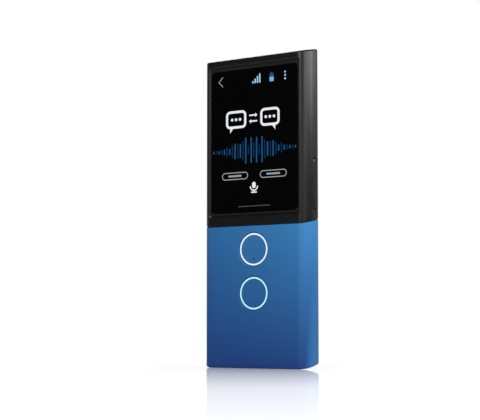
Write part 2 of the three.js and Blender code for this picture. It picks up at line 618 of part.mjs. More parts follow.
function displayFoam() {
  const ring = (inset) => roundedBox(-panelEdges.side + inset, panelEdges.side - inset,
    panelEdges.low + inset, panelEdges.high - inset, PANEL_CORNER);
  return cut(plate(ring(FOAM_WIDTH / 2), FOAM_FRONT, FOAM_FRONT + FOAM_THICKNESS),
    plate(ring(FOAM_WIDTH + FOAM_WIDTH / 2), FOAM_FRONT - OVERRUN, FOAM_FRONT + OVERRUN));
}

// Ribbons: each runs back to the main board and up to its connector

const displaySpan = {
  left: -panelEdges.side + DISPLAY_FLEX.inset,
  right: -panelEdges.side + DISPLAY_FLEX.inset + DISPLAY_FLEX.width,
};
const boardSpan = {
  left: buttonBoardEdges.side - BOARD_FLEX.inset - BOARD_FLEX.width,
  right: buttonBoardEdges.side - BOARD_FLEX.inset,
};
const batterySpan = {
  left: BATTERY_FLEX.offset - BATTERY_FLEX.width / 2,
  right: BATTERY_FLEX.offset + BATTERY_FLEX.width / 2,
};
const flexOnBoard = ON_BOARD + FLEX_THICKNESS;
const displayFlexHeight = panelEdges.low - SEAT_GAP - FLEX_THICKNESS;
const boardFlexHeight = plateStep.high + FLEX_SLOT_GAP;

function ribbonEnd({ left, right }, height) {
  const high = mainBoard.low + FLEX_RISE;
  return join(
    block(left, right, ON_BOARD, flexOnBoard, height, high),
    block(left, right, ON_BOARD, ON_BOARD + CONNECTOR_THICKNESS, high - CONNECTOR_HEIGHT, high));
}

function displayFlex() {
  return join(
    block(displaySpan.left, displaySpan.right, PANEL_FRONT + PANEL_THICKNESS / 2, flexOnBoard,
      displayFlexHeight, displayFlexHeight + FLEX_THICKNESS),
    ribbonEnd(displaySpan, displayFlexHeight));
}

function boardFlex() {
  const { left, right } = boardSpan;
  const front = ON_BUTTON_BOARD - FLEX_THICKNESS;
  return join(
    block(left, right, front, ON_BUTTON_BOARD, buttonBoardEdges.high - CONNECTOR_HEIGHT,
      boardFlexHeight + FLEX_THICKNESS / 2),
    block(left, right, front, flexOnBoard, boardFlexHeight - FLEX_THICKNESS / 2,
      boardFlexHeight + FLEX_THICKNESS / 2),
    ribbonEnd(boardSpan, boardFlexHeight - FLEX_THICKNESS / 2));
}

function batteryFlex() {
  const { left, right } = batterySpan;
  const away = batteryFront + (INNER_BACK - batteryFront) / 2;
  const turnHeight = boardFlexHeight;
  return join(
    block(left, right, away - FLEX_THICKNESS, away, batteryHigh + SEAT_GAP, turnHeight + FLEX_THICKNESS),
    block(left, right, ON_BOARD, away, turnHeight, turnHeight + FLEX_THICKNESS),
    ribbonEnd(batterySpan, turnHeight));
}

// Main board and what it carries

function mainBoardPlate() {
  const holes = mainScrewPlaces.map((spot) => screwHole(spot, BOARD_FRONT - OVERRUN, BOARD_BACK + OVERRUN));
  return cut(plate(
    roundedBox(-mainBoard.side, mainBoard.side, mainBoard.low, mainBoard.high, BOARD_CORNER),
    BOARD_FRONT, BOARD_BACK), ...holes);
}

const shieldCan = (left, right, low, high) => plate(
  roundedBox(left, right, low, high, SHIELD_CORNER), ON_BOARD, ON_BOARD + SHIELD_HEIGHT);

function processorShield() {
  const low = mainBoard.low + FLEX_RISE + PROCESSOR_SHIELD.aboveRibbons;
  return shieldCan(PROCESSOR_SHIELD.left, mainBoard.side - PROCESSOR_SHIELD.sideGap,
    low, low + PROCESSOR_SHIELD.height);
}

function radioShield() {
  const high = mainBoard.high - RADIO_SHIELD.belowBoardTop;
  return shieldCan(RADIO_SHIELD.left, RADIO_SHIELD.right, high - RADIO_SHIELD.height, high);
}

const antennaFlex = () => slantedPlate(
  roundedBox(-ANTENNA.width / 2, ANTENNA.width / 2, -ANTENNA.depth / 2, ANTENNA.depth / 2, ANTENNA.corner),
  TOP - WALL - SEAT_GAP - ANTENNA.thickness, TOP - WALL - SEAT_GAP);

const mainScrew = ({ x, z }) => turned([
  [0, PLATE_FRONT + SEAT_GAP],
  [SCREW_RADIUS, PLATE_FRONT + SEAT_GAP],
  [SCREW_RADIUS, ON_BOARD],
  [SCREW_HEAD_RADIUS, ON_BOARD],
  [SCREW_HEAD_RADIUS, ON_BOARD + SCREW_HEAD_HEIGHT],
  [0, ON_BOARD + SCREW_HEAD_HEIGHT],
], x, z, SMALL_SIDES);

const buttonBoardScrew = ({ x, z }) => turned([
  [0, ON_BUTTON_BOARD - SCREW_HEAD_HEIGHT],
  [SCREW_HEAD_RADIUS, ON_BUTTON_BOARD - SCREW_HEAD_HEIGHT],
  [SCREW_HEAD_RADIUS, ON_BUTTON_BOARD],
  [SCREW_RADIUS, ON_BUTTON_BOARD],
  [SCREW_RADIUS, LOWER_PLATE_BACK - SEAT_GAP],
  [0, LOWER_PLATE_BACK - SEAT_GAP],
], x, z, SMALL_SIDES);

// Speaker: it fires through the grille

const diaphragmFloor = speakerFace - DIAPHRAGM_SINK - DIAPHRAGM_THICKNESS - SEAT_GAP;

const speakerFrame = () => cut(
  join(plate(speakerOutline(0), speakerRear + MAGNET_HEIGHT, speakerFace),
    plate(speakerOutline(MAGNET_BORDER), speakerRear, speakerFace - MAGNET_HEIGHT)),
  plate(speakerOutline(DIAPHRAGM_BORDER), diaphragmFloor, speakerFace + OVERRUN));

function speakerDiaphragm() {
  const low = diaphragmFloor + SEAT_GAP;
  const border = DIAPHRAGM_BORDER + RUNNING_GAP;
  const high = low + DIAPHRAGM_THICKNESS;
  return solid(loft([
    { height: -high - DIAPHRAGM_SINK / 2, points: diaphragmOutline(border + DIAPHRAGM_ROLL) },
    { height: -high, points: diaphragmOutline(border) },
    { height: -low, points: diaphragmOutline(border) },
  ]).applyMatrix4(FACE_FRONT));
}
const diaphragmOutline = (inset) => roundedBox(
  -speakerSide + inset, speakerSide - inset,
  grilleHeight - SPEAKER_HEIGHT / 2 + inset, grilleHeight + SPEAKER_HEIGHT / 2 - inset,
  SPEAKER_CORNER / 2);

const speakerGasket = () => cut(
  plate(speakerOutline(0), speakerFace + SEAT_GAP, speakerFace + SEAT_GAP + SPEAKER_GASKET),
  plate(speakerOutline(DIAPHRAGM_BORDER), speakerFace - OVERRUN, BACK));

const speakerMesh = () => plate(
  speakerOutline(0), INNER_BACK - SEAT_GAP - SPEAKER_MESH, INNER_BACK - SEAT_GAP);

// Camera and flash

const windowInside = BACK - CAMERA_POCKET + SEAT_GAP;
const barrelEnd = windowInside - RUNNING_GAP;
const barrelStart = barrelEnd - CAMERA_BARREL_LENGTH;

const cameraWindow = () => turned([
  [0, windowInside],
  [CAMERA_OPENING / 2 - GLASS_GAP, windowInside],
  [CAMERA_OPENING / 2 - GLASS_GAP, windowInside + CAMERA_WINDOW - WINDOW_BEVEL],
  [CAMERA_OPENING / 2 - GLASS_GAP - WINDOW_BEVEL, windowInside + CAMERA_WINDOW],
  [0, windowInside + CAMERA_WINDOW],
], CAMERA_OFFSET, cameraHeight, BUTTON_SIDES);

const cameraLens = () => turned([
  [0, barrelStart],
  [CAMERA_BARREL / 2, barrelStart],
  [CAMERA_BARREL / 2, barrelEnd],
  [CAMERA_BARREL / 2 - LENS_LIP, barrelEnd],
  [CAMERA_BARREL / 2 - LENS_LIP - LENS_BOWL, barrelEnd - LENS_BOWL],
  [0, barrelEnd - LENS_BULGE],
], CAMERA_OFFSET, cameraHeight);

const cameraModule = () => plate(roundedBox(
  CAMERA_OFFSET - CAMERA_BODY / 2, CAMERA_OFFSET + CAMERA_BODY / 2,
  cameraHeight - CAMERA_BODY / 2, cameraHeight + CAMERA_BODY / 2, CAMERA_BODY_CORNER),
ON_BOARD, barrelStart - SEAT_GAP);

const bezelOuter = FLASH_OPENING / 2 - GLASS_GAP;
const bezelInner = bezelOuter - FLASH_BEZEL_WALL;
const bezelMouth = BACK - FLASH_SINK;
const bezelRoot = bezelMouth - FLASH_BEZEL_LENGTH;

const flashBezel = () => turned([
  [bezelInner, bezelRoot],
  [bezelOuter, bezelRoot],
  [bezelOuter, bezelMouth],
  [bezelOuter - FLASH_BEZEL_LIP, bezelMouth],
  [bezelInner, bezelMouth - FLASH_BEZEL_FLARE],
  [bezelInner, bezelRoot],
], flashOffset, cameraHeight);

const flashWindow = () => pin(bezelInner - SEAT_GAP, bezelMouth - FLASH_BEZEL_FLARE - FLASH_WINDOW,
  bezelMouth - FLASH_BEZEL_FLARE, flashOffset, cameraHeight);

const squarePost = (size, front, back) => block(flashOffset - size / 2, flashOffset + size / 2,
  front, back, cameraHeight - size / 2, cameraHeight + size / 2);
const ledBack = bezelRoot - SEAT_GAP;
const ledFront = ledBack - FLASH_LED_HEIGHT;
const flashLed = () => squarePost(FLASH_LED_SIZE, ledFront, ledBack);
const flashHolder = () => squarePost(FLASH_HOLDER_SIZE, ON_BOARD, ledFront - SEAT_GAP);

// Buttons, their rings, and the board behind them

const domeTop = ON_BUTTON_BOARD - DOME_HEIGHT;
const capRadius = ringInner - SEAT_GAP / 2;
const dishShares = [0, 0.25, 0.5, 0.75, 1];

function buttonCap(height, hasMicrophone) {
  const cap = turned([
    ...dishShares.map((share) => [capRadius * share, buttonFace + BUTTON_DISH * (1 - share * share)]),
    [capRadius, flangeFront],
    [flangeRadius, flangeFront],
    [flangeRadius, flangeBack],
    [PLUNGER_RADIUS, flangeBack],
    [PLUNGER_RADIUS, domeTop - BUTTON_TRAVEL - SEAT_GAP],
    [0, domeTop - BUTTON_TRAVEL - SEAT_GAP],
  ], 0, height, BUTTON_SIDES);
  if (!hasMicrophone) {
    return cap;
  }
  return cut(cap, pin(MICROPHONE_HOLE / 2, FRONT - OVERRUN, flangeBack + OVERRUN,
    0, height - MICROPHONE_DROP, SMALL_SIDES));
}

function lightRing(height) {
  const front = buttonFace - RING_PROUD;
  const back = flangeFront - SEAT_GAP;
  const crown = RING_STROKE / 4;
  return turned([
    [ringInner, front + crown],
    [ringInner + crown, front],
    [ringOuter - crown, front],
    [ringOuter, front + crown],
    [ringOuter, back],
    [ringInner, back],
    [ringInner, front + crown],
  ], 0, height, BUTTON_SIDES);
}

const dome = (height) => turned([
  [0, domeTop],
  [DOME_RADIUS / 2, domeTop + DOME_HEIGHT / 4],
  [DOME_RADIUS, ON_BUTTON_BOARD - DOME_HEIGHT / 4],
  [DOME_RADIUS, ON_BUTTON_BOARD],
  [0, ON_BUTTON_BOARD],
], 0, height, ROUND_SIDES / 2);

const ringLamp = (side, height) => block(
  side * RING_RADIUS - RING_LAMP.width / 2, side * RING_RADIUS + RING_LAMP.width / 2,
  ON_BUTTON_BOARD - RING_LAMP.deep, ON_BUTTON_BOARD,
  height - RING_LAMP.height / 2, height + RING_LAMP.height / 2);

const microphone = () => block(-MICROPHONE.width / 2, MICROPHONE.width / 2,
  ON_BUTTON_BOARD - MICROPHONE.deep, ON_BUTTON_BOARD,
  upperButtonHeight - MICROPHONE_DROP - MICROPHONE.height / 2,
  upperButtonHeight - MICROPHONE_DROP + MICROPHONE.height / 2);

function buttonBoard() {
  const { side, low, high } = buttonBoardEdges;
  const holes = buttonScrewPlaces.map((spot) => screwHole(
    spot, BUTTON_BOARD_FRONT - OVERRUN, BUTTON_BOARD_BACK + OVERRUN));
  return cut(plate(roundedBox(-side, side, low, high, BOARD_CORNER), BUTTON_BOARD_FRONT, BUTTON_BOARD_BACK),
    ...holes);
}

// Charging port

const portOutline = (inset) => slotAround(
  0, portDepth, PORT_WIDTH - inset * 2, PORT_THICKNESS - inset * 2);
const portShell = () => cut(upright(portOutline(0), portMouth, portMouth + PORT_DEPTH),
  upright(portOutline(PORT_SHEET), portMouth - OVERRUN, portMouth + PORT_DEPTH + OVERRUN));
const portTongue = () => join(
  upright(portOutline(PORT_SHEET + SEAT_GAP), portMouth + PORT_DEPTH - TONGUE.base, portMouth + PORT_DEPTH),
  block(-TONGUE.width / 2, TONGUE.width / 2,
    portDepth - TONGUE.thickness / 2, portDepth + TONGUE.thickness / 2,
    portMouth + PORT_DEPTH - TONGUE.base - TONGUE.length, portMouth + PORT_DEPTH - TONGUE.base / 2));

// Battery

const batterySide = INNER_SIDE - BATTERY_SIDE_GAP;
const batteryLow = lowerPlateLow + BATTERY_CORNER;
const batteryCell = () => upright(roundedBox(-batterySide, batterySide,
  batteryFront, INNER_BACK - BATTERY_BACK_GAP, BATTERY_CORNER), batteryLow, batteryHigh);
const batteryPad = () => plate(
  roundedBox(-batterySide + BATTERY_PAD_INSET, batterySide - BATTERY_PAD_INSET,
    batteryLow + BATTERY_PAD_INSET, batteryHigh - BATTERY_PAD_INSET, BATTERY_CORNER),
  LOWER_PLATE_BACK + SEAT_GAP, LOWER_PLATE_BACK + SEAT_GAP + BATTERY_PAD);

// Side keys: both are drawn at the right side, and the power key is turned round to the left

const keyFlangeOut = INNER_SIDE - RUNNING_GAP;
const keyFlangeIn = keyFlangeOut - KEY_FLANGE;
const keyNubTip = keyFlangeIn - KEY_NUB.reach;

function sideKey(height, length, nubPlaces) {
  const section = (inset) => slotAround(keyDepth, height, KEY_WIDTH - inset * 2, length - inset * 2);
  const cap = solid(loft([
    { height: keyFlangeIn + KEY_FLANGE / 2, points: section(0) },
    { height: SIDE + KEY_PROUD - KEY_CROWN, points: section(0) },
    { height: SIDE + KEY_PROUD, points: section(KEY_CROWN) },
  ]).applyMatrix4(FACE_RIGHT));
  const flange = block(keyFlangeIn, keyFlangeOut,
    keyDepth - KEY_WIDTH / 2 + KEY_FLANGE_LEAN, keyDepth + KEY_WIDTH / 2 - KEY_FLANGE_LEAN,
    height - length / 2 - KEY_FLANGE_REACH, height + length / 2 + KEY_FLANGE_REACH);
  const nubs = nubPlaces.map((place) => block(keyNubTip, keyFlangeIn + KEY_FLANGE / 2,
    keyDepth - KEY_NUB.width / 2, keyDepth + KEY_NUB.width / 2,
    height + place - KEY_NUB.length / 2, height + place + KEY_NUB.length / 2));
  return join(cap, flange, ...nubs);
}

function keySwitch(side, height) {
  const outer = keyNubTip - KEY_SWITCH_GAP;
  const inner = outer - KEY_SWITCH.across;
  return block(Math.min(side * inner, side * outer), Math.max(side * inner, side * outer),
    ON_BOARD, ON_BOARD + KEY_SWITCH.deep, height - KEY_SWITCH.height / 2, height + KEY_SWITCH.height / 2);
}

// Card tray, the card in it, and the socket over it

const trayRoot = -SIDE + WALL - SEAT_GAP;
const trayEnd = trayRoot + TRAY_LENGTH;
const cardRight = trayEnd - TRAY_BORDER - CARD.gap;
const cardLeft = cardRight - CARD.length;
const cardFront = trayFront + TRAY_FLOOR + SEAT_GAP / 2;

function simTray() {
  const bezel = sidePlate(slotAround(trayDepth, bezelHeight, BEZEL_WIDTH, BEZEL_LENGTH), -SIDE, trayRoot);
  const tongue = block(trayRoot - WALL / 2, trayEnd, trayFront, trayFront + TRAY_THICKNESS,
    trayHeight - TRAY_WIDTH / 2, trayHeight + TRAY_WIDTH / 2);
  const pocket = block(cardLeft - CARD.gap, cardRight + CARD.gap, trayFront + TRAY_FLOOR, BACK,
    trayHeight - CARD.width / 2 - CARD.gap, trayHeight + CARD.width / 2 + CARD.gap);
  const ejectHole = sidePlate(
    slotAround(trayDepth, bezelHeight + BEZEL_LENGTH / 2 - EJECT_INSET, EJECT_HOLE, EJECT_HOLE),
    -SIDE - OVERRUN, trayRoot + OVERRUN);
  return cut(join(bezel, tongue), pocket, ejectHole);
}

const simCard = () => plate([
  new THREE.Vector2(cardLeft, trayHeight - CARD.width / 2),
  new THREE.Vector2(cardRight, trayHeight - CARD.width / 2),
  new THREE.Vector2(cardRight, trayHeight + CARD.width / 2 - CARD.notch),
  new THREE.Vector2(cardRight - CARD.notch, trayHeight + CARD.width / 2),
  new THREE.Vector2(cardLeft, trayHeight + CARD.width / 2),
], cardFront, cardFront + CARD.thickness);

function simSocket() {
  const inner = TRAY_WIDTH / 2 + SOCKET_GAP;
  const outer = inner + SOCKET_SHEET;
  const corners = [
    [ON_BOARD, -outer], [socketRoof + SOCKET_SHEET, -outer],
    [socketRoof + SOCKET_SHEET, outer], [ON_BOARD, outer],
    [ON_BOARD, inner], [socketRoof, inner], [socketRoof, -inner], [ON_BOARD, -inner],
  ];
  return sidePlate(corners.map(([y, z]) => new THREE.Vector2(y, trayHeight + z)),
    -mainBoard.side + SEAT_GAP, trayEnd + RUNNING_GAP);
}

// Finishes

const finish = (color, roughness, metalness = 0, more = {}) => new THREE.MeshStandardMaterial(
  { color, roughness, metalness, flatShading: true, ...more });
const finishes = {
  blackShell: finish(0x1d1e20, 0.5),
  blueShell: finish(0x2763ad, 0.42),
  glass: finish(0x050607, 0.08),
  clear: finish(0xe8edf2, 0.05, 0, { transparent: true, opacity: 0.4 }),
  ringLight: finish(0xe6f6ff, 0.3, 0, { emissive: 0xbfe9ff, emissiveIntensity: 1 }),
  insulator: finish(0x2b2d31, 0.6),
  foam: finish(0x17181a, 0.95),
  board: finish(0x145a3c, 0.5),
  flex: finish(0xb9742a, 0.45),
  steel: finish(0xc4c7cb, 0.3, 1),
  alloy: finish(0x8e9298, 0.4, 1),
  foil: finish(0xb7bcc2, 0.35, 0.6),
  membrane: finish(0x3a3c40, 0.7),
  card: finish(0xf2f2ee, 0.5),
};

// The finished device

function geometryOf(shape) {
  const { vertProperties, triVerts } = shape.getMesh();
  const skin = new THREE.BufferGeometry();
  skin.setAttribute('position', new THREE.Float32BufferAttribute(vertProperties, 3));
  skin.setIndex(Array.from(triVerts));
  skin.computeVertexNormals();
  return skin;
}

const device = new THREE.Group();
function place(name, shape, material) {
  const mesh = new THREE.Mesh(geometryOf(shape), material);
  mesh.name = name;
  device.add(mesh);
  return mesh;
}

place('upper_housing', upperHousing(), finishes.blackShell);
place('lower_housing', lowerHousing(), finishes.blueShell);
place('chassis_frame', chassisFrame(), finishes.insulator);
place('display_glass', displayGlass(), finishes.glass);
place('display_panel', displayPanel(), finishes.glass);
place('display_foam', displayFoam(), finishes.foam);
place('display_flex', displayFlex(), finishes.flex);

place('main_board', mainBoardPlate(), finishes.board);
place('processor_shield', processorShield(), finishes.alloy);
place('radio_shield', radioShield(), finishes.alloy);
place('antenna_flex', antennaFlex(), finishes.flex);
mainScrewPlaces.forEach((spot, index) => place(
  `main_board_screw_${index + 1}`, mainScrew(spot), finishes.steel));

place('speaker_frame', speakerFrame(), finishes.insulator);
place('speaker_diaphragm', speakerDiaphragm(), finishes.membrane);
place('speaker_gasket', speakerGasket(), finishes.foam);
place('speaker_mesh', speakerMesh(), finishes.foam);

place('camera_window', cameraWindow(), finishes.glass);
place('camera_lens', cameraLens(), finishes.glass);
place('camera_module', cameraModule(), finishes.insulator);
place('flash_bezel', flashBezel(), finishes.steel);
place('flash_window', flashWindow(), finishes.clear);
place('flash_led', flashLed(), finishes.card);
place('flash_holder', flashHolder(), finishes.insulator);

[['upper', upperButtonHeight], ['lower', lowerButtonHeight]].forEach(([name, height]) => {
  place(`${name}_button`, buttonCap(height, height === upperButtonHeight), finishes.blueShell);
  place(`${name}_light_ring`, lightRing(height), finishes.ringLight);
  place(`${name}_dome`, dome(height), finishes.steel);
  place(`${name}_lamp_left`, ringLamp(-1, height), finishes.card);
  place(`${name}_lamp_right`, ringLamp(1, height), finishes.card);
});
place('button_board', buttonBoard(), finishes.board);
place('microphone', microphone(), finishes.alloy);
buttonScrewPlaces.forEach((spot, index) => place(
  `button_board_screw_${index + 1}`, buttonBoardScrew(spot), finishes.steel));
place('board_flex', boardFlex(), finishes.flex);
place('usb_c_shell', portShell(), finishes.steel);
place('usb_c_tongue', portTongue(), finishes.insulator);

place('battery_cell', batteryCell(), finishes.foil);
place('battery_pad', batteryPad(), finishes.foam);
place('battery_flex', batteryFlex(), finishes.flex);

const keyNubs = [-KEY_NUB_SPREAD / 2, KEY_NUB_SPREAD / 2];
place('volume_rocker', sideKey(rockerHeight, ROCKER_LENGTH, keyNubs), finishes.blackShell);
place('volume_down_switch', keySwitch(1, rockerHeight + keyNubs[0]), finishes.alloy);
place('volume_up_switch', keySwitch(1, rockerHeight + keyNubs[1]), finishes.alloy);
const powerButton = place('power_button', sideKey(powerHeight, POWER_LENGTH, [0]), finishes.blackShell);
powerButton.rotation.z = Math.PI;
powerButton.position.y = keyDepth * 2;
place('power_switch', keySwitch(-1, powerHeight), finishes.alloy);

place('sim_tray', simTray(), finishes.blackShell);
place('sim_card', simCard(), finishes.card);
place('sim_socket', simSocket(), finishes.alloy);

export default device;
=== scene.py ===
# Handheld translator: fine surfaces and finishes for its pieces, in metres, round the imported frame.
import json
import math

import bmesh
import bpy
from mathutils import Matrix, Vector


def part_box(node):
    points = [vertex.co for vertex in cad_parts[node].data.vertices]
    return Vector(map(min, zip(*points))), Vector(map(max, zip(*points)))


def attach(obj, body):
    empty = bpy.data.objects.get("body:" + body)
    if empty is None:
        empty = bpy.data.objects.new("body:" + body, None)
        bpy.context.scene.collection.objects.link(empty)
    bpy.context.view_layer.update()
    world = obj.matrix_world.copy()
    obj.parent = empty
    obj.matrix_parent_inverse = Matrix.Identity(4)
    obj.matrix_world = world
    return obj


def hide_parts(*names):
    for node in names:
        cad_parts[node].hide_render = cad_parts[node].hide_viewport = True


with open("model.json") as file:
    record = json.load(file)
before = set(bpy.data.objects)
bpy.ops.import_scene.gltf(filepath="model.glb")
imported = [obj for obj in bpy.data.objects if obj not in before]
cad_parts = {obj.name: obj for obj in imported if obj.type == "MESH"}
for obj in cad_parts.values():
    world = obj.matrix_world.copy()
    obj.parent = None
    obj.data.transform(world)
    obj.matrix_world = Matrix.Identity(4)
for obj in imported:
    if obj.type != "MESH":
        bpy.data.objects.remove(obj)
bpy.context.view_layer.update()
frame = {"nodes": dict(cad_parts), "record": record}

# Body
BODY_WIDTH = 0.049
BODY_DEPTH = 0.0134
BODY_HEIGHT = 0.1268
END_RISE = 0.00285
END_FILLET = 0.0008
WALL = 0.0016
FRONT_CORNER = (0.0042, 0.0052)
BACK_CORNER = (0.0079, 0.0056)
SPLIT_HEIGHT = 0.0564
SPLIT_GAP = 0.0003
SPLIT_ROUND = 0.00025
EDGE_ROUND = 0.00015
RUNNING_GAP = 0.0003
SEAT_GAP = 0.0001
OVERRUN = 0.002

# Screen
SCREEN_SIDE_MARGIN = 0.0032
SCREEN_ABOVE_SPLIT = 0.00355
SCREEN_BELOW_TOP = 0.0023
SCREEN_CORNER = 0.0013
RECESS_DEPTH = 0.0006
RECESS_LEAN = 0.00075
GLASS_THICKNESS = 0.0008
GLASS_GAP = 0.00015
GLASS_BEVEL = 0.00012
ACTIVE_SIDE = 0.02032
ACTIVE_LOW = 0.06165
ACTIVE_HIGH = 0.11965
ACTIVE_CORNER = 0.00185
PICTURE_LIFT = 0.00001

# Grille, camera and flash, placed down from the top edge of the front face
GRILLE_BELOW_TOP = 0.02705
GRILLE_PITCH = 0.00257
GRILLE_ROW_SIZES = (5, 7, 9, 11, 9, 7, 5)
GRILLE_CENTRE_HOLE = 0.00135
GRILLE_EDGE_HOLE = 0.00095
GRILLE_ROUND = 0.00008
CAMERA_BELOW_TOP = 0.0093
CAMERA_OFFSET = 0.00785
CAMERA_OPENING = 0.0083
CAMERA_LEDGE = 0.0009
CAMERA_POCKET = 0.00095
CAMERA_WINDOW = 0.0006
CAMERA_BARREL = 0.0054
CAMERA_BARREL_LENGTH = 0.0019
LENS_LIP = 0.00045
LENS_BOWL = 0.0007
LENS_BULGE = 0.00035
WINDOW_BEVEL = 0.00015
CAMERA_TO_FLASH = 0.0093
FLASH_OPENING = 0.0037
FLASH_BEZEL_WALL = 0.00055
FLASH_BEZEL_LENGTH = 0.0019
FLASH_BEZEL_FLARE = 0.0007
FLASH_BEZEL_LIP = 0.00012
FLASH_SINK = 0.0003
FLASH_WINDOW = 0.0005
FLASH_RIDGES = 5
FLASH_RIDGE_DEPTH = 0.00008

# Buttons
BUTTON_BELOW_SPLIT = 0.00947
BUTTON_PITCH = 0.01739
RING_RADIUS = 0.00609
RING_STROKE = 0.00074
RING_CROWN = 0.000185
RING_PROUD = 0.00006
RING_FLANK_FROM = -0.5
BUTTON_SINK = 0.0003
BUTTON_DISH = 0.0003
BUTTON_FLANGE = 0.0006
BUTTON_FLANGE_REACH = 0.0011
WELL_ROUND = (0.00042, 0.00036)
MICROPHONE_DROP = 0.00373
MICROPHONE_HOLE = 0.0007
PLUNGER_RADIUS = 0.0013

# Side keys and card tray, placed up from the split
ROCKER_ABOVE_SPLIT = 0.0158
ROCKER_LENGTH = 0.0198
POWER_ABOVE_SPLIT = 0.036
POWER_LENGTH = 0.008
KEY_WIDTH = 0.003
KEY_PROUD = 0.00025
KEY_CROWN = 0.0006
KEY_PILLOW = 0.0010
KEY_FLANGE = 0.0006
KEY_FLANGE_REACH = 0.001
KEY_FLANGE_LEAN = 0.0003
KEY_NUB_REACH = 0.0004
KEY_NUB_LENGTH = 0.0016
KEY_NUB_WIDTH = 0.0012
KEY_NUB_SPREAD = 0.014
TRAY_ABOVE_SPLIT = 0.02
TRAY_BEZEL = (0.0018, 0.0136)
TRAY_BEZEL_SHIFT = 0.001
EJECT_HOLE = 0.0009
EJECT_INSET = 0.0013
TRAY_THICKNESS = 0.001
TRAY_WIDTH = 0.010
TRAY_FLOOR = 0.0002
CARD_GAP = 0.00015

# Charging port and lanyard eye
PORT_WIDTH = 0.00894
PORT_THICKNESS = 0.00316
PORT_SHEET = 0.0003
PORT_LIP = 0.0001
TONGUE_WIDTH = 0.0064
TONGUE_THICKNESS = 0.0007
TONGUE_BASE = 0.002
TONGUE_ROUND = 0.0002
CONTACTS = 8
CONTACT_WIDTH = 0.0004
CONTACT_LENGTH = 0.0034
CONTACT_PROUD = 0.00003
LANYARD_OFFSET = 0.00705
LANYARD_WIDTH = 0.0033
LANYARD_SLOT = 0.00165
LANYARD_BAR = 0.0013
LANYARD_BOSS_WALL = 0.0011

# Layers of the lit picture on the cover glass, from the ground up
GROUND_LAYER = 1
SIGN_LAYER = 2
INSIDE_LAYER = 3
MARK_LAYER = 4

# Status icons along the top of the picture
STATUS_LOW = 0.1134
SIGNAL_BARS = 4
SIGNAL_LEFT = -0.00074
SIGNAL_PITCH = 0.00108
SIGNAL_BAR = 0.00062
SIGNAL_FIRST = 0.0009
SIGNAL_STEP = 0.00094
SIGNAL_ROUND = 0.0001
BATTERY_SIDES = (0.00738, 0.0093)
BATTERY_HEIGHT = 0.0031
BATTERY_FILL = 0.0018
BATTERY_CAP = (0.0006, 0.0006)
BATTERY_ROUND = 0.0002
MENU_DOTS = 3
DOT_PLACE = 0.01455
DOT_PITCH = 0.00135
DOT_LOW = 0.11388
DOT_RADIUS = 0.0004
ARROW_TIP = (-0.0168, 0.1153)
ARROW_REACH = 0.0020
ARROW_LINE = 0.00028

# Speech bubbles, and the arrows between them
BUBBLE_SIDES = ((-0.0133, -0.0036), (0.0030, 0.0120))
BUBBLE_LOW = 0.0958
BUBBLE_HIGH = 0.1030
BUBBLE_ROUND = 0.0020
BUBBLE_LINE = 0.0010
BUBBLE_TAIL = 0.0018
SWAP_REACH = 0.0019
SWAP_HEAD = 0.0009
SWAP_LINE = 0.0006
SWAP_ROUND = 0.00015
SWAP_SPREAD = 0.0012

# Voice bars, whose height is made of a quick and a slow beat
VOICE_MIDDLE = 0.0866
VOICE_BARS = 31
VOICE_PITCH = 0.00128
VOICE_BAR = 0.00062
VOICE_LEAST = 0.0006
VOICE_MOST = 0.0062
VOICE_QUICK = 1.7
VOICE_SLOW = 0.9
VOICE_QUICK_SHARE = 0.55
VOICE_SLOW_SHARE = 0.45

# Pills, microphone sign and hint line
PILL_MIDDLE = 0.0766
PILL_HEIGHT = 0.0030
PILL_LINE = 0.00035
PILL_SIDES = ((-0.0152, -0.0028), (0.0028, 0.0152))
PILL_TEXT = (0.0064, 0.0007)
SIGN_LOW = 0.0694
SIGN_HEIGHT = 0.0044
SIGN_WIDTH = 0.0017
SIGN_LINE = 0.0005
SIGN_ROUND = 0.000125
SIGN_CAPSULE_SHARE = 0.42
SIGN_FOOT_SHARE = 0.8
HINT_MIDDLE = 0.0642
HINT_SIZE = (0.015, 0.0004)

# Finishes: scales are in waves to the metre, and a grain is a scale and a depth
SHADE_SCALE = 60
GLOSS_SCALE = 350
GLOW_SCALE = 400
GLASS_SCALE = 500
FLOOR_SCALE = 3
GRAIN = (9000, 0.000004)
PORES = (4000, 0.00003)
POLISH = (200, 0.0000002)
DRAWN = (3000, 0.000002)
FINE_DRAWN = (3000, 0.0000005)
CRINKLED = (900, 0.00002)
COARSE_DETAIL = 2.0
FINE_DETAIL = 3.0
PLASTIC_SPECULAR = 0.5

# Cloth, and how many bands to the metre a wave texture draws at scale 1
THREAD_PITCH = 0.00022
THREAD_DEPTH = 0.00005
WAVE_BANDS = 3.18
CLOTH_ROUGHNESS = 0.75
CLOTH_SPECULAR = 0.3

# Lit, clear and blue finishes
LIT_ROUGHNESS = 0.3
LIT_SPECULAR = 0.1
GLOW_SHARES = (0.97, 1.0)
GLASS_BEND = 1.48
GLASS_UNEVEN = 0.01
SPECK = (0.94, 0.94, 0.94)
# Painted light on the blue shell from the right: lighter across the front toward the right, and a painted
# lighter band along the right side
BLUE_PAINTED_LIGHT_ACROSS_SHARES = (0.58, 1.05)
BLUE_PAINTED_SIDE_LIGHT_SHARE = 0.68
BLUE_PAINTED_SIDE_LIGHT_WIDTH = 0.0018

# Screen values to linear colour, as the sRGB curve gives it
SRGB_TOP = 255
SRGB_KNEE = 0.04045
SRGB_SLOPE = 12.92
SRGB_OFFSET = 0.055
SRGB_POWER = 2.4

# Camera, its lens and sensor in millimetres
CAMERA_PLACE = (0.27444, -0.44062, 0.01674)
CAMERA_YAW = -0.5741
CAMERA_PITCH = 0.0778
CAMERA_LENS = 97.519
CAMERA_SHIFT = 0.03
CAMERA_SENSOR = 36
CAMERA_CLIP = (0.01, 50)

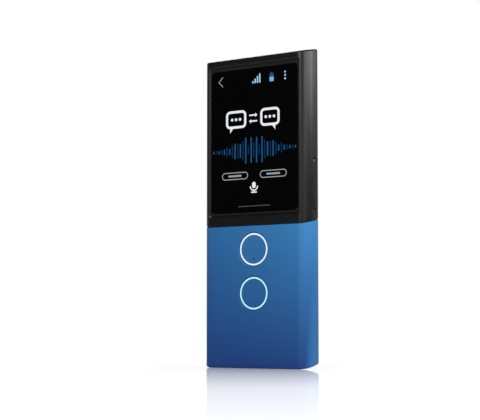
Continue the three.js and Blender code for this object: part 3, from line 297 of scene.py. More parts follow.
# Softboxes: where each stands and faces, its width and height, and its power
SOFTBOXES = {
    "key": ((0.17, 0.03, 0.175), (0.0245, 0, 0.11), (0.30, 0.08), 0.36),
    "right": ((0.17, -0.11, 0.10), (0.01, 0, 0.05), (0.14, 0.10), 0.03),
    "rim": ((-0.28, 0.20, 0.45), (0, 0, 0.06), (0.20, 0.20), 0.7),
    "fill": ((0.10, -0.70, 0.45), (0, 0, 0.06), (0.30, 0.30), 2.8),
}

# Studio and floor: a glow or gloss is given as two limits of a measure and its value at each
LIGHT_WAY = (-0.53, 0.85, 0)
STUDIO_GLOW = (-0.1, 0.8, 0.07, 1.0)
STUDIO_FADE = (0.035, 0.09, 1.0, 0.25)
FLOOR_REACH = 6.0
FLOOR_THICKNESS = 0.01
FLOOR_COLOURS = ((0.56, 0.57, 0.59), (0.54, 0.55, 0.57))
FLOOR_LIFT = (0.02, 0.16, 0.55, 1.0)
FLOOR_GLOSS = (0.01, 0.50, 0.83, 0.15)
FLOOR_MATT = 0.9
FLOOR_POLISH = 0.05
WHITE = (1, 1, 1)

# Fineness of the surfaces
BODY_CORNER_STEPS = 24
FILLET_STEPS = 8
EDGE_STEPS = 4
CORNER_STEPS = 12
ROUND_SIDES = 96
HOLE_SIDES = 24
WELD = 1e-8
SHARP_FROM = 0.6
GLASS_SHARP_FROM = 0.3
NORMAL_WEIGHT = 100

# Turns and sides
QUARTER = math.pi / 2
RIGHT = 1
LEFT = -1


def even_shares(steps):
    """Even steps from 0 to 1."""
    return [step / steps for step in range(steps + 1)]


def centred(middle, size):
    """Both ends of a size about its middle."""
    return middle - size / 2, middle + size / 2


def round_steps(size, steps=EDGE_STEPS):
    """How far out and how deep a rounded edge lies, from the surface in."""
    turns = [share * QUARTER for share in even_shares(steps)]
    return [(size * (1 - math.sin(turn)), size * (1 - math.cos(turn))) for turn in turns]


# Places worked out from the sizes
FRONT = -BODY_DEPTH / 2
BACK = BODY_DEPTH / 2
SIDE = BODY_WIDTH / 2
SLOPE = END_RISE / BODY_DEPTH
INNER_FRONT = FRONT + WALL
INNER_BACK = BACK - WALL
INNER_SIDE = SIDE - WALL
GLASS_FRONT = FRONT + RECESS_DEPTH
GLASS_BACK = GLASS_FRONT + GLASS_THICKNESS

END_STEPS = round_steps(END_FILLET, FILLET_STEPS)
FILLET_LIFT = min(along + inset * SLOPE for along, inset in END_STEPS)
BOTTOM = -FILLET_LIFT
TOP = BODY_HEIGHT - END_RISE + FILLET_LIFT

UPPER_BUTTON_HEIGHT = SPLIT_HEIGHT - BUTTON_BELOW_SPLIT
LOWER_BUTTON_HEIGHT = UPPER_BUTTON_HEIGHT - BUTTON_PITCH
BUTTON_HEIGHTS = (UPPER_BUTTON_HEIGHT, LOWER_BUTTON_HEIGHT)
GRILLE_HEIGHT = TOP - GRILLE_BELOW_TOP
CAMERA_HEIGHT = TOP - CAMERA_BELOW_TOP
WINDOW_INSIDE = BACK - CAMERA_POCKET + SEAT_GAP
LENS_MOUTH = CAMERA_BARREL / 2 - LENS_LIP
CAMERA_AXIS = (CAMERA_OFFSET, CAMERA_HEIGHT)
FLASH_AXIS = (CAMERA_OFFSET - CAMERA_TO_FLASH, CAMERA_HEIGHT)
KEY_DEPTH = (FRONT + FRONT_CORNER[1] + BACK - BACK_CORNER[1]) / 2
RING_OUTER = RING_RADIUS + RING_STROKE / 2
RING_INNER = RING_RADIUS - RING_STROKE / 2
WELL_RADIUS = RING_OUTER + RUNNING_GAP
BUTTON_FACE = FRONT + BUTTON_SINK
FLANGE_FRONT = INNER_FRONT + RUNNING_GAP
TRAY_DEPTH = (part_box("sim_tray")[0].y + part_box("sim_tray")[1].y) / 2
ROCKER_HEIGHT = SPLIT_HEIGHT + ROCKER_ABOVE_SPLIT
POWER_HEIGHT = SPLIT_HEIGHT + POWER_ABOVE_SPLIT
TRAY_HEIGHT = SPLIT_HEIGHT + TRAY_ABOVE_SPLIT
PORT_DEPTH = (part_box("usb_c_shell")[0].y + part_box("usb_c_shell")[1].y) / 2


def rise(y):
    """How much higher a body level is at a depth than on the front face."""
    return (y - FRONT) * SLOPE


# Tools for making meshes

def arc(x, y, across, deep, turn, steps):
    """Points of a quarter ellipse that starts at so many right angles."""
    angles = [(turn + share) * QUARTER for share in even_shares(steps)]
    return [(x + across * math.cos(angle), y + deep * math.sin(angle)) for angle in angles]


def outline(left, right, low, high, low_corner, high_corner, steps=CORNER_STEPS):
    """Closed outline with elliptical corners: the low pair, then the high pair."""
    return [
        *arc(right - low_corner[0], low + low_corner[1], *low_corner, -1, steps),
        *arc(right - high_corner[0], high - high_corner[1], *high_corner, 0, steps),
        *arc(left + high_corner[0], high - high_corner[1], *high_corner, 1, steps),
        *arc(left + low_corner[0], low + low_corner[1], *low_corner, 2, steps),
    ]


def rounded_box(left, right, low, high, radius, steps=CORNER_STEPS):
    return outline(left, right, low, high, (radius, radius), (radius, radius), steps)


def slot_around(x, y, width, height, steps=CORNER_STEPS):
    return rounded_box(*centred(x, width), *centred(y, height), min(width, height) / 2, steps)


def body_section(inset):
    """Outline of the body's section, drawn in by a wall."""
    return outline(-SIDE + inset, SIDE - inset, FRONT + inset, BACK - inset,
                   (FRONT_CORNER[0] - inset, FRONT_CORNER[1] - inset),
                   (BACK_CORNER[0] - inset, BACK_CORNER[1] - inset), BODY_CORNER_STEPS)


def body_ring(level, inset):
    """Ring of the body at a level, which climbs towards the back."""
    return [(x, y, level + rise(y)) for x, y in body_section(inset)]


def skin_into(target, rings, loop):
    """Adds a closed skin through rings of equal count, capped at both ends or joined end to end."""
    levels = [[target.verts.new(point) for point in ring] for ring in rings]
    count = len(levels[0])
    pairs = list(zip(levels, levels[1:]))
    if loop:
        pairs.append((levels[-1], levels[0]))
    for lower, upper in pairs:
        for place in range(count):
            after = (place + 1) % count
            target.faces.new((lower[place], lower[after], upper[after], upper[place]))
    if not loop:
        target.faces.new(levels[0])
        target.faces.new(levels[-1])


def object_from(name, target):
    """Object from mesh data whose double points are merged and whose faces point out."""
    bmesh.ops.remove_doubles(target, verts=target.verts[:], dist=WELD)
    bmesh.ops.dissolve_degenerate(target, edges=target.edges[:], dist=WELD)
    bmesh.ops.recalc_face_normals(target, faces=target.faces[:])
    mesh = bpy.data.meshes.new(name)
    target.to_mesh(mesh)
    target.free()
    made = bpy.data.objects.new(name, mesh)
    bpy.context.scene.collection.objects.link(made)
    return made


def skinned(name, *shells, loop=False):
    """Object of one or more closed skins, each a list of rings."""
    target = bmesh.new()
    for rings in shells:
        skin_into(target, rings, loop)
    return object_from(name, target)


def facing_front(sections):
    """Rings from outlines in X and Z, each at its own depth."""
    return [[(x, y, z) for x, z in points] for points, y in sections]


def facing_side(sections):
    """Rings from outlines in Y and Z, each at its own place across."""
    return [[(x, y, z) for y, z in points] for points, x in sections]


def turned_rings(profile, x, z, sides=ROUND_SIDES):
    """Rings about an axis along the depth, from a profile of radius and depth."""
    turns = [2 * math.pi * side / sides for side in range(sides)]
    return [[(x + radius * math.cos(turn), y, z + radius * math.sin(turn)) for turn in turns]
            for radius, y in profile]


def block_rings(left, right, front, back, low, high):
    corners = [(left, front), (right, front), (right, back), (left, back)]
    return [[(x, y, z) for x, y in corners] for z in (low, high)]


def block(name, *sides):
    return skinned(name, block_rings(*sides))


def settle(piece):
    """Turns a piece's modifiers into its mesh."""
    graph = bpy.context.evaluated_depsgraph_get()
    mesh = bpy.data.meshes.new_from_object(piece.evaluated_get(graph))
    piece.modifiers.clear()
    piece.data = mesh


def combine(base, operation, tools):
    for tool in tools:
        step = base.modifiers.new(tool.name, "BOOLEAN")
        step.operation = operation
        step.solver = "EXACT"
        step.object = tool
    settle(base)
    for tool in tools:
        bpy.data.objects.remove(tool)


def smooth(piece, sharp_from=SHARP_FROM):
    """Smooth shading that keeps flat faces flat and sharp edges sharp."""
    mesh = piece.data
    mesh.polygons.foreach_set("use_smooth", [True] * len(mesh.polygons))
    mesh.set_sharp_from_angle(angle=sharp_from)
    step = piece.modifiers.new("weigh", "WEIGHTED_NORMAL")
    step.keep_sharp = True
    step.weight = NORMAL_WEIGHT
    settle(piece)


def dress(piece, finish, body, node):
    """Gives a piece its finish, its body, the node that it stands for, if any."""
    piece.data.materials.clear()
    piece.data.materials.append(FINISHES[finish])
    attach(piece, body)
    if node:
        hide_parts(node)


# Finishes

def fill(node, sockets):
    """Puts numbers, colours or other nodes' outputs into sockets of a node."""
    for name, value in sockets.items():
        if isinstance(value, bpy.types.NodeSocket):
            node.id_data.links.new(value, node.inputs[name])
        else:
            node.inputs[name].default_value = value


def add_node(tree, kind, sockets, **settings):
    """Outputs of a new node, whose settings are made before its sockets are filled."""
    node = tree.nodes.new(kind)
    for name, value in settings.items():
        setattr(node, name, value)
    fill(node, sockets)
    return node.outputs


def new_finish(name, colour, roughness, metallic=0, specular=PLASTIC_SPECULAR):
    made = bpy.data.materials.new(name)
    made.use_nodes = True
    shader = made.node_tree.nodes["Principled BSDF"]
    fill(shader, {"Base Color": (*colour, 1), "Roughness": roughness, "Metallic": metallic,
                  "Specular IOR Level": specular})
    return made, made.node_tree, shader


def place_in(tree, kind="Object"):
    """Place on the piece, or way into the sky."""
    return add_node(tree, "ShaderNodeTexCoord", {})[kind]


def axes_of(tree, vector):
    return add_node(tree, "ShaderNodeSeparateXYZ", {"Vector": vector})


def noise(tree, scale, detail=COARSE_DETAIL):
    """Noise that stays on the piece, its scale in waves to the metre."""
    sockets = {"Vector": place_in(tree), "Scale": scale, "Detail": detail}
    return add_node(tree, "ShaderNodeTexNoise", sockets)["Fac"]


def ranged(tree, value, low, high, at_low, at_high):
    """A value between two limits as one between two others."""
    return add_node(tree, "ShaderNodeMapRange", {
        "Value": value, "From Min": low, "From Max": high, "To Min": at_low, "To Max": at_high})["Result"]


def spread(tree, value, low, high):
    """A value from 0 to 1 as one between two limits."""
    return ranged(tree, value, 0, 1, low, high)


def calculated(tree, operation, first, second):
    return add_node(tree, "ShaderNodeMath", {0: first, 1: second}, operation=operation)["Value"]


def mixed(tree, share, first, second, blend="MIX"):
    sockets = {"Factor": share, "A": first, "B": second}
    return add_node(tree, "ShaderNodeMix", sockets, data_type="RGBA", blend_type=blend)["Result"]


def between(tree, share, first, second):
    return mixed(tree, share, (*first, 1), (*second, 1))


def bump(tree, shader, height, distance):
    raised = add_node(tree, "ShaderNodeBump", {"Strength": 1, "Distance": distance, "Height": height})
    fill(shader, {"Normal": raised["Normal"]})


def texture(tree, shader, roughness, grain):
    """Uneven gloss and a fine grain."""
    scale, depth = grain
    fill(shader, {"Roughness": spread(tree, noise(tree, GLOSS_SCALE), *roughness)})
    bump(tree, shader, noise(tree, scale, FINE_DETAIL), depth)


def linear(share):
    if share < SRGB_KNEE:
        return share / SRGB_SLOPE
    return ((share + SRGB_OFFSET) / (1 + SRGB_OFFSET)) ** SRGB_POWER


def shade(*values):
    """Linear colour from screen values of 0 to 255."""
    return tuple(linear(value / SRGB_TOP) for value in values)


def moulded(name, light, dark, roughness, grain=GRAIN, specular=PLASTIC_SPECULAR):
    """Moulded plastic: a fine spark texture, with faint changes of shade and gloss."""
    made, tree, shader = new_finish(name, light, sum(roughness) / 2, specular=specular)
    fill(shader, {"Base Color": between(tree, noise(tree, SHADE_SCALE), dark, light)})
    texture(tree, shader, roughness, grain)
    return made


def painted_light_plastic(name, low_colour, high_colour, roughness, specular):
    """Moulded plastic that lightens upward, partly its own two-tone fade and partly painted light from
    above, and lightens to the right and along the right edge with painted light from the right.
    """
    made, tree, shader = new_finish(name, high_colour, sum(roughness) / 2, specular=specular)
    axes = axes_of(tree, place_in(tree))
    # Painted light: the upward share is partly the finish's own two-tone fade and partly painted light
    # from above
    upward = ranged(tree, axes["Z"], 0, SPLIT_HEIGHT, 0, 1)
    # Painted light from the right: lighter across the front toward the right, and a lighter right side
    across = ranged(tree, axes["X"], -SIDE, SIDE, *BLUE_PAINTED_LIGHT_ACROSS_SHARES)
    edge = ranged(tree, axes["X"], SIDE - BLUE_PAINTED_SIDE_LIGHT_WIDTH, SIDE, 0, BLUE_PAINTED_SIDE_LIGHT_SHARE)
    share = calculated(tree, "MAXIMUM", calculated(tree, "MULTIPLY", upward, across), edge)
    fade_with_painted_light = between(tree, share, low_colour, high_colour)
    speck = between(tree, noise(tree, SHADE_SCALE), SPECK, WHITE)
    fill(shader, {"Base Color": mixed(tree, 1, fade_with_painted_light, speck, "MULTIPLY")})
    texture(tree, shader, roughness, GRAIN)
    return made


def metal(name, colour, roughness, grain):
    """Metal with fine drawn or cast lines."""
    made, tree, shader = new_finish(name, colour, sum(roughness) / 2, metallic=1)
    scale, depth = grain
    lines = noise(tree, scale, FINE_DETAIL)
    fill(shader, {"Roughness": spread(tree, lines, *roughness)})
    bump(tree, shader, lines, depth)
    return made


def glowing(name, colour, skin_colour):
    """Lit plastic or a lit spot of the picture."""
    made, tree, shader = new_finish(name, skin_colour, LIT_ROUGHNESS, specular=LIT_SPECULAR)
    strength = spread(tree, noise(tree, GLOW_SCALE), *GLOW_SHARES)
    fill(shader, {"Emission Color": (*colour, 1), "Emission Strength": strength})
    return made


def woven(name, light, dark):
    """Fine cloth: two sets of threads that cross, each round."""
    made, tree, shader = new_finish(name, light, CLOTH_ROUGHNESS, specular=CLOTH_SPECULAR)
    sockets = {"Vector": place_in(tree), "Scale": 1 / THREAD_PITCH / WAVE_BANDS}
    across, up = [
        add_node(tree, "ShaderNodeTexWave", sockets, bands_direction=way)["Fac"] for way in "XZ"]
    crossing = calculated(tree, "MAXIMUM", across, up)
    fill(shader, {"Base Color": between(tree, crossing, dark, light)})
    bump(tree, shader, crossing, THREAD_DEPTH)
    return made


def clear(name, tint, roughness):
    """Clear glass or plastic, with a trace of unevenness."""
    made, tree, shader = new_finish(name, tint, roughness)
    uneven = spread(tree, noise(tree, GLASS_SCALE), roughness, roughness + GLASS_UNEVEN)
    fill(shader, {"Transmission Weight": 1, "IOR": GLASS_BEND, "Roughness": uneven})
    return made


# Plastics: light and dark colour, least and most roughness, and where they differ, grain and reflection
MOULDED_FINISHES = {
    "black_shell": (shade(16, 16, 17), shade(14, 14, 15), (0.34, 0.38)),
    "cover_glass": ((0.0022, 0.0022, 0.0026), (0.0018, 0.0018, 0.0022), (0.05, 0.07), POLISH, 0.15),
    "picture_black": ((0.0024, 0.0024, 0.0026), (0.0020, 0.0020, 0.0022), (0.05, 0.07), POLISH, 0.1),
    "border_black": ((0.023, 0.023, 0.0235), (0.021, 0.021, 0.0215), (0.1, 0.13), POLISH, 0.15),
    "ring_flank": (shade(24, 70, 140), shade(20, 60, 120), (0.3, 0.4), GRAIN, 0.3),
    "dark_part": ((0.03, 0.03, 0.034), (0.024, 0.024, 0.027), (0.5, 0.6)),
    "foam": ((0.012, 0.012, 0.013), (0.008, 0.008, 0.009), (0.85, 0.95), PORES),
    "circuit_board": ((0.012, 0.12, 0.06), (0.009, 0.10, 0.05), (0.35, 0.45)),
    "ribbon": ((0.42, 0.19, 0.05), (0.36, 0.15, 0.035), (0.35, 0.45)),
    "white_part": ((0.82, 0.82, 0.78), (0.76, 0.76, 0.72), (0.4, 0.5)),
    "phosphor": ((0.80, 0.72, 0.22), (0.74, 0.64, 0.16), (0.5, 0.6)),
    "lens_black": ((0.004, 0.004, 0.005), (0.003, 0.003, 0.004), (0.28, 0.36)),
    "lens_coat": ((0.006, 0.007, 0.016), (0.004, 0.005, 0.012), (0.03, 0.05), POLISH),
}
# Low and high colour, least and most roughness, and reflection; the fade from low to high is partly
# painted light
PAINTED_LIGHT_FINISHES = {"blue_shell": (shade(28, 74, 149), shade(62, 145, 212), (0.40, 0.46), 0.4)}
# Colour, least and most roughness, and grain
METAL_FINISHES = {
    "steel": ((0.62, 0.63, 0.65), (0.22, 0.34), DRAWN),
    "alloy": ((0.55, 0.56, 0.58), (0.30, 0.42), DRAWN),
    "bright_metal": ((0.78, 0.79, 0.81), (0.08, 0.14), FINE_DRAWN),
    "contact_gold": ((0.90, 0.68, 0.30), (0.18, 0.26), FINE_DRAWN),
    "foil": ((0.60, 0.62, 0.64), (0.35, 0.5), CRINKLED),
}
# Colours of the lit signs of the picture, as screen values
SIGN_COLOURS = {
    "icon_blue": (160, 208, 238), "icon_dim_blue": (40, 80, 120), "icon_sky": (110, 180, 240),
    "icon_white": (235, 238, 243), "icon_grey": (156, 160, 166), "icon_faint": (66, 68, 72),
    "arrow_grey": (150, 165, 185), "voice_blue": (24, 82, 132), "voice_deep": (12, 44, 74),
}
# Colour of the light, and of the skin that gives it off
GLOWING_FINISHES = {
    "upper_glow": ((0.80, 0.90, 1.0), (0.05, 0.05, 0.05)),
    "lower_glow": ((0.47, 0.90, 1.0), (0.03, 0.05, 0.05)),
    **{name: (shade(*colour), (0, 0, 0)) for name, colour in SIGN_COLOURS.items()},
}
# Light and dark thread
WOVEN_FINISHES = {"mesh_cloth": ((0.030, 0.030, 0.032), (0.004, 0.004, 0.005))}
# Tint and roughness
CLEAR_FINISHES = {"clear_glass": ((0.96, 0.97, 0.98), 0), "clear_plastic": ((0.95, 0.95, 0.92), 0.04)}

FINISH_KINDS = (
    (moulded, MOULDED_FINISHES), (painted_light_plastic, PAINTED_LIGHT_FINISHES), (metal, METAL_FINISHES),
    (glowing, GLOWING_FINISHES), (woven, WOVEN_FINISHES), (clear, CLEAR_FINISHES),
)
FINISHES = {name: make(name, *values) for make, rows in FINISH_KINDS for name, values in rows.items()}

# Finishes of the nodes that stay, where they aren't called as their slot is
SLOT_FINISHES = {
    "ring_light": "lower_glow", "display": "picture_black", "flash_clear": "clear_plastic",
    "insulator": "dark_part", "membrane": "dark_part", "lamp": "white_part",
}
NODE_FINISHES = {"speaker_mesh": "mesh_cloth", "flash_led": "phosphor"}


def dress_frame():
    """Every node that stays gets the finish of its slot."""
    for row in frame["record"]["subparts"]:
        node = frame["nodes"][row["node"]]
        slot_name = row["material_slot"]
        finish = NODE_FINISHES.get(row["node"]) or SLOT_FINISHES.get(slot_name, slot_name)
        node.data.materials.clear()
        node.data.materials.append(FINISHES[finish])


# Upper housing

def screen_outline(inset):
    return rounded_box(-SIDE + SCREEN_SIDE_MARGIN + inset, SIDE - SCREEN_SIDE_MARGIN - inset,
                       SPLIT_HEIGHT + SCREEN_ABOVE_SPLIT + inset, TOP - SCREEN_BELOW_TOP - inset,
                       SCREEN_CORNER - inset)


def recess_cutter():
    """The screen's recess: a round edge, a sloping wall, and the window for the glass."""
    edge = [(screen_outline(-out), FRONT + deep) for out, deep in round_steps(EDGE_ROUND)]
    return skinned("recess", facing_front([
        (screen_outline(-EDGE_ROUND), FRONT - OVERRUN),
        *edge,
        (screen_outline(RECESS_LEAN), GLASS_FRONT),
        (screen_outline(RECESS_LEAN), INNER_FRONT + OVERRUN),
    ]))


def back_mouth(radius, edge):
    """Profile of a hole's rounded edge in the back, and on out to the axis."""
    return [
        *[(radius + out, BACK - deep) for out, deep in reversed(round_steps(edge))],
        (radius + edge, BACK + OVERRUN),
        (0, BACK + OVERRUN),
    ]


def round_hole(radius, x, z, edge, sides):
    """Rings of a round hole through the back."""
    start = INNER_BACK - OVERRUN
    return turned_rings([(0, start), (radius, start), *back_mouth(radius, edge)], x, z, sides)


def grille_cutter():
    """Diamond of holes that get smaller outward."""
    rows = len(GRILLE_ROW_SIZES)
    reach = (max(GRILLE_ROW_SIZES) - 1) / 2
    holes = []
    for row, size in enumerate(GRILLE_ROW_SIZES):
        for place in range(size):
            across = place - (size - 1) / 2
            up = (rows - 1) / 2 - row
            share = min(math.hypot(across, up) / reach, 1)
            radius = (GRILLE_CENTRE_HOLE + (GRILLE_EDGE_HOLE - GRILLE_CENTRE_HOLE) * share) / 2
            holes.append(round_hole(radius, across * GRILLE_PITCH, GRILLE_HEIGHT + up * GRILLE_PITCH,
                                    GRILLE_ROUND, HOLE_SIDES))
    return skinned("grille", *holes)


def camera_cutter():
    """Stepped hole, whose ledge carries the window."""
    pocket = CAMERA_OPENING / 2
    return skinned("camera", turned_rings([
        (0, INNER_BACK - OVERRUN),
        (pocket - CAMERA_LEDGE, INNER_BACK - OVERRUN),
        (pocket - CAMERA_LEDGE, BACK - CAMERA_POCKET),
        (pocket, BACK - CAMERA_POCKET),
        *back_mouth(pocket, EDGE_ROUND),
    ], *CAMERA_AXIS))


def side_slot(name, depth, height, width, length, side):
    """Slot through a side wall round a part of some width and length, with a rounded edge."""
    gap = RUNNING_GAP * 2

    def around(out):
        return slot_around(depth, height, width + gap + out * 2, length + gap + out * 2)

    return skinned(name, facing_side([
        (around(EDGE_ROUND), side * (SIDE + OVERRUN)),
        *[(around(out), side * (SIDE - deep)) for out, deep in round_steps(EDGE_ROUND)],
        (around(0), side * (SIDE - WALL - OVERRUN)),
    ]))


def upper_housing():
    low = SPLIT_HEIGHT + SPLIT_GAP / 2
    piece = skinned("upper_shell", [
        *[body_ring(low + deep, inset) for inset, deep in round_steps(SPLIT_ROUND)],
        *[body_ring(TOP - along, inset) for along, inset in END_STEPS],
    ])
    inside = skinned("upper_inside", [body_ring(low - OVERRUN, WALL), body_ring(TOP - WALL, WALL)])
    slots = (
        ("rocker", KEY_DEPTH, ROCKER_HEIGHT, KEY_WIDTH, ROCKER_LENGTH, RIGHT),
        ("power", KEY_DEPTH, POWER_HEIGHT, KEY_WIDTH, POWER_LENGTH, LEFT),
        ("tray", TRAY_DEPTH, TRAY_HEIGHT + TRAY_BEZEL_SHIFT, *TRAY_BEZEL, LEFT),
    )
    flash = round_hole(FLASH_OPENING / 2, *FLASH_AXIS, EDGE_ROUND, ROUND_SIDES)
    combine(piece, "DIFFERENCE", [
        inside,
        recess_cutter(),
        grille_cutter(),
        camera_cutter(),
        skinned("flash", flash),
        *[side_slot(*slot) for slot in slots],
    ])
    smooth(piece)
    dress(piece, "black_shell", "casing", "upper_housing")


# Lower housing

def well_cutter(height):
    across, deep = WELL_ROUND
    edge = [(WELL_RADIUS + across * out, FRONT + deep * into)
            for out, into in round_steps(1, FILLET_STEPS)]
    return turned_rings([
        (0, FRONT - OVERRUN),
        (WELL_RADIUS + across, FRONT - OVERRUN),
        *edge,
        (WELL_RADIUS, INNER_FRONT + OVERRUN),
        (0, INNER_FRONT + OVERRUN),
    ], 0, height)


def port_cutter():
    """The charging port's opening, with a rounded edge in the slanted end."""
    width = PORT_WIDTH + RUNNING_GAP * 2
    thickness = PORT_THICKNESS + RUNNING_GAP * 2

    def ring(level, out):
        around = slot_around(0, PORT_DEPTH, width + out * 2, thickness + out * 2)
        return [(x, y, level + rise(y)) for x, y in around]

    return skinned("port", [
        ring(BOTTOM - OVERRUN, EDGE_ROUND),
        *[ring(BOTTOM + deep, out) for out, deep in round_steps(EDGE_ROUND)],
        ring(BOTTOM + WALL + OVERRUN, 0),
    ])


def lanyard_eye():
    """The boss that closes the eye inside, and the two cuts that meet in it."""
    high = BOTTOM + END_RISE + LANYARD_BAR + LANYARD_SLOT
    left, right = centred(LANYARD_OFFSET, LANYARD_WIDTH)
    back = BACK - LANYARD_SLOT
    front = back - LANYARD_SLOT
    boss = block("boss", left - LANYARD_BOSS_WALL, right + LANYARD_BOSS_WALL, front - LANYARD_BOSS_WALL,
                 INNER_BACK + WALL / 2, BOTTOM + WALL / 2 + rise(back), high + LANYARD_BOSS_WALL)
    return boss, [
        block("eye_back", left, right, front, BACK + OVERRUN, high - LANYARD_SLOT, high),
        block("eye_low", left, right, front, back, BOTTOM - OVERRUN, high),
    ]


def lower_housing():
    high = SPLIT_HEIGHT - SPLIT_GAP / 2
    piece = skinned("lower_shell", [
        *[body_ring(BOTTOM + along, inset) for along, inset in reversed(END_STEPS)],
        *[body_ring(high - deep, inset) for inset, deep in reversed(round_steps(SPLIT_ROUND))],
    ])
    inside = skinned("lower_inside", [body_ring(BOTTOM + WALL, WALL), body_ring(high + OVERRUN, WALL)])
    boss, eye_cuts = lanyard_eye()
    combine(piece, "DIFFERENCE", [inside])
    combine(piece, "UNION", [boss])
    combine(piece, "DIFFERENCE", [
        skinned("wells", *[well_cutter(height) for height in BUTTON_HEIGHTS]),
        port_cutter(),
        *eye_cuts,
    ])
    smooth(piece)
    dress(piece, "blue_shell", "casing", "lower_housing")


# Buttons and their rings

def button(name, height):
    """Dished cap with its flange and plunger, the upper one with a microphone hole."""
    cap_radius = RING_INNER - SEAT_GAP / 2
    plunger_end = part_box(name)[1].y
    dish = [(cap_radius * share, BUTTON_FACE + BUTTON_DISH * (1 - share * share))
            for share in even_shares(FILLET_STEPS)]
    profile = [
        *dish,
        (cap_radius, FLANGE_FRONT),
        (WELL_RADIUS + BUTTON_FLANGE_REACH, FLANGE_FRONT),
        (WELL_RADIUS + BUTTON_FLANGE_REACH, FLANGE_FRONT + BUTTON_FLANGE),
        (PLUNGER_RADIUS, FLANGE_FRONT + BUTTON_FLANGE),
        (PLUNGER_RADIUS, plunger_end),
        (0, plunger_end),
    ]
    piece = skinned(name + "_cap", turned_rings(profile, 0, height))
    if height == UPPER_BUTTON_HEIGHT:
        hole = skinned("hole", turned_rings([
            (0, FRONT - OVERRUN),
            (MICROPHONE_HOLE / 2, FRONT - OVERRUN),
            (MICROPHONE_HOLE / 2, FLANGE_FRONT + BUTTON_FLANGE + OVERRUN),
            (0, FLANGE_FRONT + BUTTON_FLANGE + OVERRUN),
        ], 0, height - MICROPHONE_DROP, HOLE_SIDES))
        combine(piece, "DIFFERENCE", [hole])
    smooth(piece)
    dress(piece, "blue_shell", name, name)


def light_ring(body, node, height, finish):
    """Milky ring with a crowned face."""
    front = BUTTON_FACE - RING_PROUD
    back = FLANGE_FRONT - SEAT_GAP
    turns = [share * math.pi for share in even_shares(FILLET_STEPS)]
    crown = [(RING_RADIUS - RING_STROKE / 2 * math.cos(turn), front + RING_CROWN * (1 - math.sin(turn)))
             for turn in turns]
    profile = [*crown, (RING_OUTER, back), (RING_INNER, back)]
    piece = skinned(node + "_guide", turned_rings(profile, 0, height), loop=True)
    smooth(piece)
    dress(piece, finish, body, node)
    piece.data.materials.append(FINISHES["ring_flank"])
    for face in piece.data.polygons:
        if face.normal.y > RING_FLANK_FROM:
            face.material_index = 1


# Side keys

def side_key(name, height, length, nub_places, side):
    """Key with a pillow face, and its flange and nubs inside the wall."""
    flange_out = INNER_SIDE - RUNNING_GAP
    flange_in = flange_out - KEY_FLANGE
    sections = [(slot_around(KEY_DEPTH, height, KEY_WIDTH, length), side * (flange_in + KEY_FLANGE / 2))]
    for drop, inward in round_steps(1, FILLET_STEPS):
        inset = KEY_PILLOW * inward * 2
        face = SIDE + KEY_PROUD - KEY_CROWN * drop
        sections.append((slot_around(KEY_DEPTH, height, KEY_WIDTH - inset, length - inset), side * face))
    piece = skinned(name + "_cap", facing_side(sections))
    parts = [block(
        "flange", *sorted((side * flange_in, side * flange_out)),
        *centred(KEY_DEPTH, KEY_WIDTH - KEY_FLANGE_LEAN * 2),
        *centred(height, length + KEY_FLANGE_REACH * 2))]
    for place in nub_places:
        parts.append(block(
            "nub", *sorted((side * (flange_in - KEY_NUB_REACH), side * (flange_in + KEY_FLANGE / 2))),
            *centred(KEY_DEPTH, KEY_NUB_WIDTH), *centred(height + place, KEY_NUB_LENGTH)))
    combine(piece, "UNION", parts)
    smooth(piece)
    dress(piece, "black_shell", name, name)


# Card tray

def sim_tray():
    root = -SIDE + WALL - SEAT_GAP
    card_low, card_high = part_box("sim_card")
    front = card_low.y - TRAY_FLOOR - SEAT_GAP / 2
    bezel_height = TRAY_HEIGHT + TRAY_BEZEL_SHIFT
    width, length = TRAY_BEZEL
    piece = skinned("tray_bezel", facing_side([
        *[(slot_around(TRAY_DEPTH, bezel_height, width - inset * 2, length - inset * 2), -SIDE + deep)
          for deep, inset in round_steps(EDGE_ROUND)],
        (slot_around(TRAY_DEPTH, bezel_height, width, length), root),
    ]))
    tongue = block("tongue", root - WALL / 2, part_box("sim_tray")[1].x, front, front + TRAY_THICKNESS,
                   *centred(TRAY_HEIGHT, TRAY_WIDTH))
    combine(piece, "UNION", [tongue])
    pocket = block("pocket", card_low.x - CARD_GAP, card_high.x + CARD_GAP, front + TRAY_FLOOR, BACK,
                   card_low.z - CARD_GAP, card_high.z + CARD_GAP)
    eject_height = bezel_height + length / 2 - EJECT_INSET
    eject = skinned("eject", facing_side([
        (slot_around(TRAY_DEPTH, eject_height, EJECT_HOLE, EJECT_HOLE), -SIDE - OVERRUN),
        (slot_around(TRAY_DEPTH, eject_height, EJECT_HOLE, EJECT_HOLE), root + OVERRUN),
    ]))
    combine(piece, "DIFFERENCE", [pocket, eject])
    smooth(piece)
    dress(piece, "black_shell", "sim_tray", "sim_tray")


# Camera and flash

def turned(name, profile, x, z, loop=False):
    piece = skinned(name, turned_rings(profile, x, z), loop=loop)
    smooth(piece)
    return piece


def camera_window():
    """Clear window with a printed rim behind it."""
    outside = WINDOW_INSIDE + CAMERA_WINDOW
    radius = CAMERA_OPENING / 2 - GLASS_GAP
    window = turned("window", [
        (0, WINDOW_INSIDE),
        (radius, WINDOW_INSIDE),
        (radius, outside - WINDOW_BEVEL),
        (radius - WINDOW_BEVEL, outside),
        (0, outside),
    ], *CAMERA_AXIS)
    dress(window, "clear_glass", "casing", "camera_window")
    rim_back = WINDOW_INSIDE - PICTURE_LIFT
    rim_front = rim_back - PICTURE_LIFT
    rim = turned("window_print", [
        (LENS_MOUTH, rim_front),
        (radius, rim_front),
        (radius, rim_back),
        (LENS_MOUTH, rim_back),
    ], *CAMERA_AXIS, loop=True)
    dress(rim, "lens_black", "casing", None)


